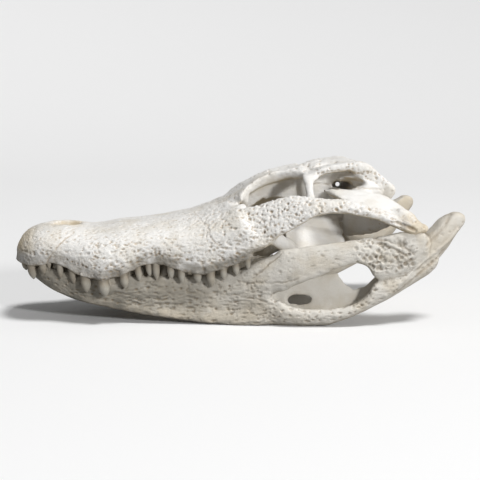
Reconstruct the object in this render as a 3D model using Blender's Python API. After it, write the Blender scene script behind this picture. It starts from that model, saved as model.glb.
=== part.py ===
"""Skull of an adult American alligator, its mouth all but closed, resting on its lower jaw.

Sizes are millimetres. A point is (station, spread, height): stations run rearwards from the tip of
the snout, spreads run sideways from the middle plane, and heights run up from the floor. The
snout points to -X, and the animal's left side is -Y.
"""

import bisect
import math
import random

import bmesh
import bpy
from mathutils import Vector

MM = 0.001
SKULL_LENGTH = 421.5
SUTURE = 0.3
HALF_SUTURE = SUTURE / 2
WELD = 0.02
TOOTH_SEED = 7
CREAM, TAN = (0.80, 0.76, 0.68), (0.62, 0.56, 0.46)
ROUGHNESS = 0.65
LEFT, RIGHT = -1, 1
SIDES = {LEFT: "left", RIGHT: "right"}

# The snout, by station: half its width, its top on the middle line, the edge that holds the
# teeth, and the palate.
SNOUT_SPREAD = (
    (0, 6), (2, 15), (6, 24), (13, 32.5), (22, 38.5), (34, 42), (44, 43), (56, 47.5), (70, 54.5),
    (84, 58.5), (98, 58.5), (115, 57), (132, 58.5), (155, 63), (175, 67), (195, 71), (212, 75),
    (236, 81),
)
SNOUT_TOP = (
    (0, 68), (2, 74), (6, 81), (13, 87), (24, 91), (46, 93.5), (60, 91.5), (76, 89.5), (100, 93.5),
    (129, 95.5), (169, 102), (190, 108), (208, 116.5), (219, 125), (232, 133), (241, 137.5),
    (256, 141.5), (268, 144), (280, 147),
)
TOOTH_EDGE = (
    (0, 63), (4, 61), (18, 60), (34, 64), (44, 61), (60, 52.5), (77, 48.5), (86, 49), (104, 55),
    (119, 62), (130, 64), (143, 60.5), (164, 54), (175, 53), (186, 57), (206, 64), (217, 69),
    (236, 74),
)
PALATE = ((0, 66), (44, 66), (60, 63), (80, 61), (104, 64), (130, 67), (170, 67), (206, 72), (236, 76))
WIDEST_SHARE = ((0, 0.3), (60, 0.35), (150, 0.38), (190, 0.46), (212, 0.54), (236, 0.58))
SNOUT_STATIONS = (
    0, 2, 6, 13, 23, 35, 47, 58, 62, 72, 84, 98, 114, 130, 144, 160, 176, 196, 206, 214, 222, 236,
)
ROOF_SPREAD = ((62, 5), (80, 9), (110, 11.5), (160, 13), (196, 13), (204, 21), (214, 36), (222, 43), (236, 48))
ROOF_DEPTH = 7.0
NASAL_FRONT, NASAL_REAR = 62.0, 196.0
PALATE_REAR = 162.0

# Upper teeth: station, width of the crown at the bone and the height of its tip.
FRONT_TEETH = ((3.0, 4.4, 52), (7.0, 5.2, 50), (14.2, 7.8, 42.5), (25.3, 6.8, 48.5), (30.9, 3.6, 54))
CHEEK_TEETH = (
    (41.1, 5.2, 45), (52.7, 6.0, 39), (64.7, 9.0, 32.2), (81.0, 10.4, 28), (100.1, 7.6, 36.2),
    (113.2, 5.6, 43.5), (123.1, 5.0, 47.5), (130.5, 6.2, 44), (143.9, 6.0, 44.2), (154.1, 6.0, 40.5),
    (168.4, 6.8, 41.5), (180.9, 7.8, 38), (192.8, 6.2, 44.5), (203.8, 6.0, 48.5), (214.8, 5.4, 54.5),
)
TOOTH_INSET = 6.0
CROWN_SIDES = 6
UPPER_CROWN = ((0, 0.95), (0.45, 1), (0.8, 0.6))
LOWER_CROWN = ((0, 0.95), (0.6, 0.9))
ROW_STEPS = 12

# The lower jaw, by station, for one side.
JAW_OUT = (
    (9, 7), (12, 15), (20, 24), (30, 30), (45, 35.5), (60, 40), (80, 46), (100, 48), (130, 50),
    (160, 53), (186, 59), (208, 66), (236, 77),
)
JAW_IN = ((55, 0.15), (64, 12), (78, 24), (100, 30), (130, 33), (160, 37), (186, 43), (208, 49), (236, 59))
JAW_KEEL = ((9, 3), (20, 12), (40, 22), (60, 30), (85, 36), (118, 43), (144, 48), (182, 56.5), (220, 66), (236, 70))
JAW_TOP = (
    (9, 53), (16, 56), (30, 53), (45, 50), (60, 47), (84, 45.5), (107, 46), (139, 44.5), (158, 45),
    (186, 47), (206, 50), (218, 57), (236, 67),
)
JAW_BOTTOM = (
    (9, 47), (17, 41.5), (28, 33.5), (40, 27.5), (60, 20.6), (85, 15.4), (118, 9.2), (144, 5), (172, 2),
    (190, 0), (236, 0),
)
JAW_STATIONS = (9, 12, 17, 24, 34, 46, 55, 64, 82, 100, 118, 136, 158, 182, 198, 208, 218, 227, 236)
LOWER_TEETH = (
    (13, 5.0, 7), (18, 4.6, 6), (26, 5.0, 7), (38, 7.5, 11), (50, 5.0, 6), (60, 4.6, 6), (70, 4.6, 6.5),
    (79, 4.8, 7), (88, 5.0, 8), (97, 5.4, 9), (106, 5.6, 9), (116, 6.2, 9.5), (127, 6.6, 10), (138, 5.6, 9),
    (148, 5.2, 8), (158, 5.0, 8), (168, 5.0, 8), (178, 5.0, 8), (189, 4.6, 7), (200, 4.4, 6.5),
)


def curve_through(table):
    """A smooth curve through (station, value) pairs that never overshoots them, as a function."""
    xs = [x for x, _ in table]
    ys = [y for _, y in table]
    steps = [(y1 - y0) / (x1 - x0) for x0, x1, y0, y1 in zip(xs, xs[1:], ys, ys[1:])]
    slopes = [steps[0]]
    for before, after in zip(steps, steps[1:]):
        slopes.append(2 * before * after / (before + after) if before * after > 0 else 0.0)
    slopes.append(steps[-1])

    def value(x):
        x = min(max(x, xs[0]), xs[-1])
        i = min(max(bisect.bisect_right(xs, x) - 1, 0), len(steps) - 1)
        span = xs[i + 1] - xs[i]
        t = (x - xs[i]) / span
        rise = (1 + 2 * t) * (1 - t) ** 2 * ys[i] + t * t * (3 - 2 * t) * ys[i + 1]
        return rise + span * (t * (1 - t) ** 2 * slopes[i] - t * t * (1 - t) * slopes[i + 1])

    return value


snout_spread = curve_through(SNOUT_SPREAD)
snout_top = curve_through(SNOUT_TOP)
tooth_edge = curve_through(TOOTH_EDGE)
palate = curve_through(PALATE)
widest_share = curve_through(WIDEST_SHARE)
roof_spread = curve_through(ROOF_SPREAD)
jaw_out = curve_through(JAW_OUT)
jaw_in = curve_through(JAW_IN)
jaw_keel = curve_through(JAW_KEEL)
jaw_top = curve_through(JAW_TOP)
jaw_bottom = curve_through(JAW_BOTTOM)


def place(point, side=RIGHT):
    """The point in metres, on one side of the middle plane."""
    station, spread, height = point
    return Vector(((station - SKULL_LENGTH / 2) * MM, side * spread * MM, height * MM))


def new_object(name, bm):
    """A mesh object whose faces are triangles that point outwards."""
    bmesh.ops.remove_doubles(bm, verts=bm.verts, dist=WELD * MM)
    bmesh.ops.dissolve_degenerate(bm, dist=WELD * MM, edges=bm.edges)
    bmesh.ops.recalc_face_normals(bm, faces=bm.faces)
    bmesh.ops.triangulate(bm, faces=bm.faces, quad_method="SHORT_EDGE", ngon_method="EAR_CLIP")
    mesh = bpy.data.meshes.new(name)
    bm.to_mesh(mesh)
    bm.free()
    obj = bpy.data.objects.new(name, mesh)
    bpy.context.scene.collection.objects.link(obj)
    return obj


def loft(name, rings, side=RIGHT):
    """A closed solid skinned over rings that hold the same number of points. A ring of one is a tip."""
    bm = bmesh.new()
    rows = [[bm.verts.new(place(point, side)) for point in ring] for ring in rings]
    count = max(len(row) for row in rows)
    for first, second in zip(rows, rows[1:]):
        for i in range(count):
            j = (i + 1) % count
            if len(first) == 1:
                bm.faces.new((first[0], second[j], second[i]))
            elif len(second) == 1:
                bm.faces.new((first[i], first[j], second[0]))
            else:
                bm.faces.new((first[i], first[j], second[j], second[i]))
    for row in (rows[0], rows[-1]):
        if len(row) > 1:
            bm.faces.new(row)
    return new_object(name, bm)


def both_sides(ring):
    """A ring across the middle plane, from half a ring that starts and ends near that plane."""
    return list(ring) + [(s, -y, z) for s, y, z in reversed(ring)]


def slab_ring(top, bottom, thickness, bulge=1.5):
    """A rounded slab's ring from its top edge to its bottom edge. The outer face bulges a little."""
    top, bottom = Vector(top), Vector(bottom)
    down = (bottom - top).normalized()
    inwards = Vector((0, down.z, -down.y)).normalized()
    if inwards.y > 0:
        inwards = -inwards
    length = (bottom - top).length
    edge = min(thickness * 0.45, length * 0.3)
    marks = (
        (0, 0.5), (edge * 0.35, 0.12), (edge, 0), (length * 0.5, -bulge / thickness),
        (length - edge, 0), (length - edge * 0.35, 0.12), (length, 0.5), (length - edge, 1),
        (length * 0.5, 1), (edge, 1),
    )
    return [tuple(top + down * along + inwards * (share * thickness)) for along, share in marks]


def oval_ring(centre, first, second, count=8):
    """A ring round a centre, with two half axes as vectors."""
    centre, first, second = Vector(centre), Vector(first), Vector(second)
    turns = [2 * math.pi * i / count for i in range(count)]
    return [tuple(centre + first * math.cos(turn) + second * math.sin(turn)) for turn in turns]


def ellipsoid(name, centre, radii, side=RIGHT, tilt=0.0, detail=2):
    """A ball stretched to three radii, tilted about the skull's length."""
    bm = bmesh.new()
    bmesh.ops.create_icosphere(bm, subdivisions=detail, radius=1)
    for vert in bm.verts:
        x, y, z = (c * r for c, r in zip(vert.co, radii))
        y, z = y * math.cos(tilt) - z * math.sin(tilt), y * math.sin(tilt) + z * math.cos(tilt)
        vert.co = place((centre[0] + x, centre[1] + y, centre[2] + z), side)
    return new_object(name, bm)


def apply_modifiers(obj):
    """Turns the object's evaluated shape into its own mesh."""
    graph = bpy.context.evaluated_depsgraph_get()
    mesh = bpy.data.meshes.new_from_object(obj.evaluated_get(graph))
    old = obj.data
    obj.modifiers.clear()
    obj.data = mesh
    bpy.data.meshes.remove(old)


def boolean(obj, others, operation):
    """Joins other objects to obj, or cuts them out of it, in one Boolean, and removes them."""
    group = bpy.data.collections.new(obj.name + "_pieces")
    for other in others:
        bpy.context.scene.collection.objects.unlink(other)
        group.objects.link(other)
    step = obj.modifiers.new("join", "BOOLEAN")
    step.operation = operation
    step.operand_type = "COLLECTION"
    step.collection = group
    step.solver = "EXACT"
    apply_modifiers(obj)
    for other in others:
        mesh = other.data
        bpy.data.objects.remove(other)
        bpy.data.meshes.remove(mesh)
    bpy.data.collections.remove(group)
    keep_largest(obj)
    return obj


def join(obj, *others):
    return boolean(obj, others, "UNION")


def cut(obj, *cutters):
    return boolean(obj, cutters, "DIFFERENCE")


def shells(bm):
    """The mesh's separate surfaces, each as a list of faces."""
    left = set(bm.faces)
    while left:
        todo, found = [left.pop()], []
        while todo:
            face = todo.pop()
            found.append(face)
            for edge in face.edges:
                for other in edge.link_faces:
                    if other in left:
                        left.discard(other)
                        todo.append(other)
        yield found


def keep_largest(obj):
    """Leaves only the largest closed surface of the mesh."""
    bm = bmesh.new()
    bm.from_mesh(obj.data)
    bmesh.ops.triangulate(bm, faces=bm.faces)
    parts = sorted(shells(bm), key=lambda faces: sum(face.calc_area() for face in faces))
    for faces in parts[:-1]:
        bmesh.ops.delete(bm, geom=faces, context="FACES")
    bmesh.ops.dissolve_degenerate(bm, dist=1e-6, edges=bm.edges)
    bmesh.ops.triangulate(bm, faces=bm.faces)
    bm.to_mesh(obj.data)
    bm.free()


def part_at(obj, point, normal, side=RIGHT):
    """Cuts the solid at a plane and keeps what lies behind it, half a suture short of the plane."""
    bm = bmesh.new()
    bm.from_mesh(obj.data)
    direction = Vector((normal[0], side * normal[1], normal[2])).normalized()
    origin = place(point, side) - direction * HALF_SUTURE * MM
    everything = bm.verts[:] + bm.edges[:] + bm.faces[:]
    bmesh.ops.bisect_plane(bm, geom=everything, plane_co=origin, plane_no=direction, clear_outer=True)
    rim = [edge for edge in bm.edges if edge.is_boundary]
    bmesh.ops.triangle_fill(bm, edges=rim, use_beauty=True, normal=direction)
    bmesh.ops.recalc_face_normals(bm, faces=bm.faces)
    bmesh.ops.triangulate(bm, faces=bm.faces)
    bm.to_mesh(obj.data)
    bm.free()
    keep_largest(obj)
    return obj


def copy_of(obj, name):
    """A second object with its own copy of the mesh."""
    twin = bpy.data.objects.new(name, obj.data.copy())
    bpy.context.scene.collection.objects.link(twin)
    return twin


def grown_copy(obj, by=SUTURE):
    """A copy whose surface stands out by a suture's width all over."""
    twin = copy_of(obj, obj.name + "_grown")
    bm = bmesh.new()
    bm.from_mesh(twin.data)
    bm.normal_update()
    moves = [(vert, vert.normal * vert.calc_shell_factor() * by * MM) for vert in bm.verts]
    for vert, move in moves:
        if move.length > 2 * by * MM:
            move = move.normalized() * 2 * by * MM
        vert.co += move
    bm.to_mesh(twin.data)
    bm.free()
    return twin


def seat(obj, *neighbours):
    """Cuts obj back from its neighbours, so that it meets them face to face across a suture."""
    return cut(obj, *[grown_copy(other) for other in neighbours])


def finish(obj, material):
    """Gives a node its material and smooth shading."""
    obj.data.materials.clear()
    obj.data.materials.append(material)
    obj.data.shade_smooth()
    obj.data.set_sharp_from_angle(angle=math.radians(40))
    return obj


def bone_material(name, colour):
    """A matt material in one colour."""
    material = bpy.data.materials.new(name)
    material.use_nodes = True
    shader = material.node_tree.nodes["Principled BSDF"]
    shader.inputs["Base Color"].default_value = (*colour, 1)
    shader.inputs["Roughness"].default_value = ROUGHNESS
    shader.inputs["Metallic"].default_value = 0
    return material


def dome(station, spread):
    """Height of the snout's outer surface at a spread from the middle line."""
    edge, top = tooth_edge(station), snout_top(station)
    widest = edge + widest_share(station) * (top - edge)
    share = min(spread / snout_spread(station), 1)
    return widest + (top - widest) * (1 - share**2.6) ** 0.5


def snout_ring(station):
    """Half the snout across: the rebate for the roof bones, the outer wall, the tooth edge, the palate."""
    spread, edge, top = snout_spread(station), tooth_edge(station), snout_top(station)
    near = roof_spread(station) if station >= NASAL_FRONT else 0
    near = max(near + SUTURE, HALF_SUTURE) if near else HALF_SUTURE
    size = min(1, spread / 42)
    groove = palate(station) + 4 * size
    outer = [near + (spread - near) * share for share in (0, 0.25, 0.5, 0.7, 0.86, 0.96, 1)]
    depth = ROOF_DEPTH if station > 10 else 2
    ring = [(HALF_SUTURE, top - depth), (max(near - 1, HALF_SUTURE), top - depth)]
    ring += [(a, dome(station, a)) for a in outer]
    ring += [
        (spread - 0.5 * size, edge + 7 * size), (spread - 2 * size, edge + 1.5 * size),
        (spread - 6 * size, edge), (spread - 10.5 * size, edge + 1.5 * size),
        (spread - 13 * size, groove), (spread - 21 * size, groove),
        (spread - 25 * size, palate(station)), (HALF_SUTURE, palate(station)),
    ]
    return [(station, a, z) for a, z in ring]


def tooth(name, root, tip, width, bend, side, profile):
    """A conical crown, sunk into the bone at its root, curving inwards to its tip."""
    root, tip = Vector(root), Vector(tip)
    axis = (tip - root).normalized()
    across = axis.cross(Vector((1, 0, 0))).normalized()
    along = across.cross(axis)
    rings = []
    for share, size in profile:
        centre = root.lerp(tip, share) + across * bend * math.sin(math.pi * share)
        rings.append(oval_ring(centre, along * width * size / 2, across * width * size * 0.46, CROWN_SIDES))
    rings.append([tuple(tip)])
    return loft(name, rings, side)


def row_point(station, spread_at, inset):
    """Where a tooth row stands at a station: in from the jaw's outline, square to it."""
    foot = station
    for _ in range(ROW_STEPS):
        ahead, behind = max(foot - 0.5, 0), max(foot - 0.5, 0) + 1
        slope = spread_at(behind) - spread_at(ahead)
        length = math.hypot(1, slope)
        foot = max((foot + station - inset * slope / length) / 2, 0)
    return station, spread_at(foot) - inset / length


def upper_teeth(table, side, rng):
    """Crowns along one side of the upper jaw, a little different from side to side."""
    crowns = []
    for number, (station, width, tip_height) in enumerate(table):
        station, spread = row_point(station, snout_spread, TOOTH_INSET * min(1, 0.6 + station / 40))
        root = (station, spread, tooth_edge(station) + 6)
        tip = (station + rng.uniform(0, 1.5), spread - 0.5, tip_height + rng.uniform(-0.8, 0.8))
        crowns.append(tooth(f"crown{number}", root, tip, width, -0.9, side, UPPER_CROWN))
    return crowns


def lower_teeth(side, rng):
    """Crowns along one side of the lower jaw. They stand inside the upper row."""
    crowns = []
    for number, (station, width, height) in enumerate(LOWER_TEETH):
        station, spread = row_point(station, jaw_out, 5.5)
        top = jaw_top(station)
        height *= rng.uniform(0.92, 1.05)
        root = (station, spread, top - 6)
        tip = (station + 0.5, spread + 0.3, min(top + height, palate(station) - 1))
        crowns.append(tooth(f"crown{number}", root, tip, width, 0.4, side, LOWER_CROWN))
    return crowns


ORBIT_CENTRE, ORBIT_RADII, ORBIT_TILT = (246, 46, 131), (34.5, 30, 44), math.radians(-22)
INNER_SPACE = (
    (PALATE_REAR, 20, 86), (168, 36, 88), (178, 46, 91), (192, 51, 95), (206, 54, 99), (220, 58, 106),
    (240, 64, 116),
)
NARIS = ((48, 0, 96), (17, 16, 21))
CHEEK_PLANE = ((218, 0, 93), (0.8, 0, 0.6))


def orbit_cutter(side):
    return ellipsoid("orbit_cutter", ORBIT_CENTRE, ORBIT_RADII, side, ORBIT_TILT, 3)


def inner_space_cutter(side):
    """The open space behind the palate, from the mouth up to the roof of the skull."""
    rings = []
    for station, spread, height in INNER_SPACE:
        half = [(-5, 40), (spread - 3, 40), (spread, height - 16), (spread * 0.75, height - 5),
                (spread * 0.35, height), (-5, height)]
        rings.append([(station, a, z) for a, z in half])
    return loft("inner_space_cutter", rings, side)


def upper_jaw(side):
    """The premaxilla and the maxilla of one side, parted at their slanting suture, without teeth."""
    half = loft("half", [snout_ring(s) for s in SNOUT_STATIONS], side)
    suture_point, suture_normal = (33.8, 0, 62), (0.8, 0, -0.6)
    front = part_at(copy_of(half, "premaxilla_" + SIDES[side]), suture_point, suture_normal, side)
    back = half
    back.name = "maxilla_" + SIDES[side]
    part_at(back, suture_point, [-n for n in suture_normal], side)
    cut(front, ellipsoid("naris_cutter", *NARIS, side))
    cut(back, ellipsoid("naris_cutter", *NARIS, side), inner_space_cutter(side), orbit_cutter(side))
    part_at(back, CHEEK_PLANE[0], CHEEK_PLANE[1], side)
    return front, back


def nasals():
    """The strip of roof between the maxillae, with the thin bar that divides the nostrils."""
    rings = []
    for station in [s for s in SNOUT_STATIONS if NASAL_FRONT <= s <= NASAL_REAR]:
        spread, top = roof_spread(station), snout_top(station)
        bottom = top - ROOF_DEPTH + SUTURE
        half = [(0, bottom), (spread - 1, bottom), (spread, dome(station, spread)),
                (spread / 2, dome(station, spread / 2)), (0, top)]
        rings.append(both_sides([(min(station, NASAL_REAR - SUTURE), a, z) for a, z in half]))
    strip = loft("nasals", rings)
    bar = [(31.5, 1.5, 85, 88.5), (40, 1.6, 84, 89.5), (54, 2, 84, 90), (66, 3, 85, 89)]
    rings = [both_sides([(s, 0, low), (s, a, low + 1), (s, a, high - 1), (s, 0, high)])
             for s, a, low, high in bar]
    return join(strip, loft("bar", rings))


def frontal():
    """The frontal and prefrontals: the bridge between the orbits, with its keel and two pillars."""
    rings = []
    for station, spread, dip in (
        (196, 13, 0), (204, 21, 0), (214, 36, 0), (222, 43, 1), (234, 42, 2), (247, 38, 2),
        (262, 36, 2), (272, 37, 1.5), (278.5, 36, 1),
    ):
        top = snout_top(station)
        edge_drop = top - dome(station, spread) if station < 225 else 7
        half = [
            (0, top - 11), (spread * 0.25, top - 10.5), (spread * 0.5, top - 8.5), (spread, top - edge_drop - 7),
            (spread, top - edge_drop), (spread * 0.72, top - edge_drop * 0.35),
            (spread * 0.45, top + dip * 0.3), (0, top - dip),
        ]
        rings.append(both_sides([(station, a, z) for a, z in half]))
    bridge = loft("frontal", rings)
    keel = loft("keel", [
        both_sides([(s, 0, low), (s, a, low + 1.5), (s, a + 0.8, high), (s, 0, high + 3)])
        for s, a, low, high in (
            (214, 1.6, 106, 112), (224, 1.6, 101, 118), (240, 1.5, 112, 128), (256, 1.5, 113, 133), (277, 1.8, 110, 137),
        )
    ])
    pillars = []
    for side in SIDES:
        rings = [
            oval_ring((218, 22, 116), (6, 0, 0), (0, 9, 0)), oval_ring((219, 17, 106), (4, 0, 0), (0, 6, 0)),
            oval_ring((221, 13, 95), (4, 0, 0), (0, 5, 0)), oval_ring((222, 11, 86), (6, 0, 0), (0, 5, 0)),
        ]
        pillars.append(loft("pillar", rings, side))
    join(bridge, keel, *pillars)
    return cut(bridge, orbit_cutter(LEFT), orbit_cutter(RIGHT))


# The skull table, by station: half its width, its edge's height and its middle's.
TABLE = (
    (278.8, 35, 139.5, 146.5), (284, 41, 142, 148.5), (293, 43, 146, 150), (304, 44, 148.5, 150.5),
    (316, 45.5, 150, 151), (328, 47.5, 150.5, 151), (336, 48.5, 149.5, 149.5),
)
TEMPORAL_FENESTRA = ((301, 20, 148), (9.5, 7, 16))
# Each side's rear corner of the table: station, spread, lowest and highest point.
CORNER = (
    (322, 45.5, 141, 149), (332, 47, 138, 149.8), (337, 48, 127, 149.2), (346, 52, 125.8, 141),
    (357, 57.5, 120, 131.5), (360.5, 57.5, 121, 128.5),
)


def skull_table():
    """The flat roof over the braincase, pierced by the upper temporal fenestrae."""
    rings = []
    for station, spread, edge, middle in TABLE:
        half = [
            (0, middle - 9), (spread * 0.6, edge - 7), (spread - 2, edge - 7), (spread, edge - 5),
            (spread, edge - 1), (spread - 3, edge + 0.3), (spread * 0.55, edge - 0.4), (0, middle),
        ]
        rings.append(both_sides([(station, a, z) for a, z in half]))
    table = loft("skull_table", rings)
    corners = [loft("corner", [slab_ring((s, a, high), (s, a + 1, low), 7, 0.8) for s, a, low, high in CORNER], side)
               for side in SIDES]
    join(table, *corners)
    return cut(table, *[ellipsoid("fenestra_cutter", *TEMPORAL_FENESTRA, side) for side in SIDES])


# The cheek bar, front to back: its upper edge, its lower edge and its thickness.
CHEEK_BAR = (
    ((203.8, 57, 112.4), (232, 78, 74.8), 11), ((214, 60, 112.5), (237, 80.5, 83), 10),
    ((227, 64, 114.7), (243, 82.5, 88), 9.5), ((241, 68.5, 120.3), (251, 84.5, 91.5), 9),
    ((257, 73.5, 124.3), (262, 87, 98), 9), ((272, 78, 123.3), (275, 90, 106.8), 8.5),
    ((289, 82, 121.3), (289, 92.5, 110.5), 8), ((303, 85, 121.3), (302, 94.5, 110.3), 8),
    ((317, 88.5, 118.5), (316, 96, 107.5), 8), ((334, 92.5, 112.5), (334, 97.5, 102.5), 8),
)
CHEEK_HINGE = (
    ((334.3, 92.5, 112.5), (334.3, 97.5, 102.5), 8), ((345, 94, 108), (345, 98, 97), 8.5),
    ((356, 95.5, 104), (356, 98, 91.3), 9), ((366, 96.5, 100), (366, 98, 89.6), 9),
    ((373, 96.5, 96), (373, 97, 90.2), 7),
)


def cheek(side):
    """The jugal, from the front of the orbit back under the temporal opening."""
    return loft("jugal_" + SIDES[side], [slab_ring(*ring) for ring in CHEEK_BAR], side)


def cheek_hinge(side):
    """The quadratojugal, which carries the cheek bar to the jaw joint."""
    return loft("quadratojugal_" + SIDES[side], [slab_ring(*ring, 0.8) for ring in CHEEK_HINGE], side)


# The quadrate's plate: the points of its inner edge and of its outer edge, and its depth.
QUADRATE = (
    ((290, 53, 127), (302, 78, 121.5), 4), ((304, 54, 127.2), (314, 84, 118.5), 6),
    ((320, 56, 126.8), (330, 89, 114), 8), ((338, 59, 124.5), (344, 92, 108.5), 10),
    ((350, 61, 121), (355, 93.5, 104.5), 12), ((361, 66, 113), (365, 95, 100.5), 14),
    ((371, 70, 103), (374, 95, 96), 13), ((380, 71, 95.5), (381, 93, 91.5), 5),
)
QUADRATE_WING = (
    ((358, 68, 104), 9, 4), ((346, 54, 99), 15, 3.5), ((332, 38, 95), 17, 3), ((318, 25, 92), 17, 3),
)


def quadrate(side):
    """The bone that reaches back and out to the jaw joint, with its wing to the braincase."""
    rings = []
    for inner, outer, depth in QUADRATE:
        inner, outer = Vector(inner), Vector(outer)
        ring = [inner.lerp(outer, share) + Vector((0, 0, lift)) for share, lift in
                ((0, -1), (0.25, 1.2), (0.55, 1), (0.85, 0), (1, -1.5))]
        ring += [inner.lerp(outer, share) - Vector((0, 0, depth * deep)) for share, deep in
                 ((1, 0.5), (0.8, 0.72), (0.5, 0.9), (0.2, 1), (0, 0.7))]
        rings.append([tuple(point) for point in ring])
    plate = loft("quadrate_" + SIDES[side], rings, side)
    wing = loft("wing", [
        oval_ring(centre, (thick * 0.75, -thick * 0.66, 0), (0, 0, tall)) for centre, tall, thick in QUADRATE_WING
    ], side)
    return join(plate, wing)


def postorbital_bar(side):
    """The column behind the orbit, from the skull table down to the cheek bar."""
    rings = [
        oval_ring((278, 37, 140), (6.5, 0, 0), (0, 4.5, 0)), oval_ring((278.5, 42, 134), (5, 0, 0), (0, 4, 1)),
        oval_ring((277.5, 51, 128), (3.8, 0, 0), (0, 3, 2)), oval_ring((276.5, 60, 121), (4, 0, 0), (0, 2.8, 2.5)),
        oval_ring((275.5, 69, 116), (5.5, 0, 0), (0, 2.6, 3.4)), oval_ring((275, 78, 110), (5, 0, 0), (0, 2.4, 3.2)),
    ]
    return loft("postorbital_bar_" + SIDES[side], rings, side)


# The braincase, by station: half its width low down, half its width high up, its lowest and
# its highest point.
BRAINCASE = (
    (277.2, 7, 9, 112, 133.5), (284, 11, 13, 104, 136.5), (294, 13, 14, 98, 139), (304, 15, 16, 93, 140.5),
    (312, 18, 24, 88, 141), (320, 20, 33, 84, 141.3), (330, 22, 36, 79, 141.3), (338, 20, 34, 76, 140),
    (343, 12, 22, 84, 138),
)
EAR_CENTRE, EAR_RADII = (310, 50, 131.5), (24, 24, 6.5)
EAR_PASSAGE = ((317, 0, 127), (11, 60, 5.5))


def braincase():
    """The box behind the orbits, with the condyle of the neck, the ear passages and the rear wall."""
    rings = []
    for station, low, high, bottom, top in BRAINCASE:
        half = [
            (0, bottom), (low * 0.7, bottom + 1), (low, bottom + 8), ((low + high) / 2, 118), (high, 130),
            (high, top), (0, top),
        ]
        rings.append(both_sides([(station, a, z) for a, z in half]))
    box = loft("braincase", rings)
    ears = []
    for side in SIDES:
        ears.append(loft("ear", [
            oval_ring((322, 14, 122), (17, 0, 0), (0, 0, 16)), oval_ring((324, 34, 123), (17, 0, 0), (0, 0, 18)),
            oval_ring((330, 48, 124), (18, 0, 0), (0, 0, 12)), oval_ring((336, 55, 123), (12, 0, 0), (0, 0, 8)),
        ], side))
        ears.append(loft("wing", [
            oval_ring((338, 10, 127), (5.5, 0, 0), (0, 0, 15)), oval_ring((342, 34, 127), (5, 0, 0), (0, 0, 14)),
            oval_ring((349, 50, 124), (4.5, 0, 0), (0, 0, 9)), oval_ring((355, 57, 120), (3.5, 0, 0), (0, 0, 5)),
        ], side))
    neck = loft("neck", [
        oval_ring((334, 0, 104), (0, 9, 0), (0, 0, 9), 10), oval_ring((345, 0, 105), (0, 7.5, 0), (0, 0, 7.5), 10),
        oval_ring((350, 0, 105.5), (0, 9, 0), (0, 0, 8), 10), oval_ring((355, 0, 105.5), (0, 7.5, 0), (0, 0, 6.5), 10),
        oval_ring((358, 0, 105.5), (0, 3.5, 0), (0, 0, 3), 10),
    ])
    join(box, neck, *ears)
    cutters = [ellipsoid("ear_cutter", EAR_CENTRE, EAR_RADII, side) for side in SIDES]
    cutters.append(ellipsoid("passage_cutter", *EAR_PASSAGE))
    cutters.append(ellipsoid("spinal_cutter", (346, 0, 119.5), (26, 8, 5.5)))
    return cut(box, *cutters)


# The palatines, by station: half their width, lowest and highest point.
PALATINES = (
    (PALATE_REAR + SUTURE, 17, 67, 83), (172, 15, 67.5, 84), (190, 12.5, 69, 85), (214, 11.5, 71, 87),
    (236, 13, 73, 89), (252, 16, 75.5, 91), (262, 18, 77, 93),
)
# The pterygoids' wings, from the middle out: front and rear station, spread, height, thickness.
WINGS = (
    (262.3, 326, 6, 90, 14), (260, 318, 16, 92, 10), (256, 313, 30, 91, 6.5), (256, 314, 43, 79, 5.5),
    (261, 317, 54, 66, 6), (268, 313, 61, 57, 6), (276, 304, 64, 53.5, 4),
)


def palatines():
    rings = []
    for station, spread, low, high in PALATINES:
        half = [(0, low), (spread * 0.75, low + 1), (spread, low + 5), (spread * 0.85, high - 4), (0, high)]
        rings.append(both_sides([(station, a, z) for a, z in half]))
    return loft("palatines", rings)


def pterygoids():
    """The wings behind the palate, and the inner opening of the nose between them."""
    body = [(262.3, 17, 77, 93), (280, 16, 78, 94), (300, 15, 76, 92), (318, 14, 76, 90), (328, 10, 78, 88)]
    rings = []
    for station, spread, low, high in body:
        half = [(0, low), (spread * 0.75, low + 1), (spread, low + 5), (spread * 0.85, high - 3), (0, high)]
        rings.append(both_sides([(station, a, z) for a, z in half]))
    middle = loft("pterygoids", rings)
    wings = []
    for side in SIDES:
        rings = []
        for front, rear, spread, height, thickness in WINGS:
            half_t, centre = thickness / 2, (front + rear) / 2
            rings.append([
                (front, spread, height), (front + 6, spread + half_t * 0.4, height + half_t),
                (centre, spread + half_t * 0.5, height + half_t + 1), (rear - 6, spread + half_t * 0.4, height + half_t),
                (rear, spread, height), (rear - 6, spread - half_t * 0.4, height - half_t),
                (centre, spread - half_t * 0.5, height - half_t), (front + 6, spread - half_t * 0.4, height - half_t),
            ])
        wings.append(loft("wing", rings, side))
    join(middle, *wings)
    return cut(middle, ellipsoid("choana_cutter", (306, 0, 74), (10, 7.5, 10)))


def ectopterygoid(side):
    """The strut from the pterygoid's wing out to the cheek."""
    rings = [
        oval_ring((268, 58, 65), (3, 0, 0), (0, 2, 6)), oval_ring((258, 60, 71), (2, 3.5, 0), (0, 1, 9)),
        oval_ring((246, 66, 79), (2, 3.5, 0), (0, 1, 9)), oval_ring((236, 72, 86), (2, 4, 0), (0, 2, 10)),
        oval_ring((226, 80, 90), (2, 4, 0), (0, 2, 11)),
    ]
    return loft("ectopterygoid_" + SIDES[side], rings, side)


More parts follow.
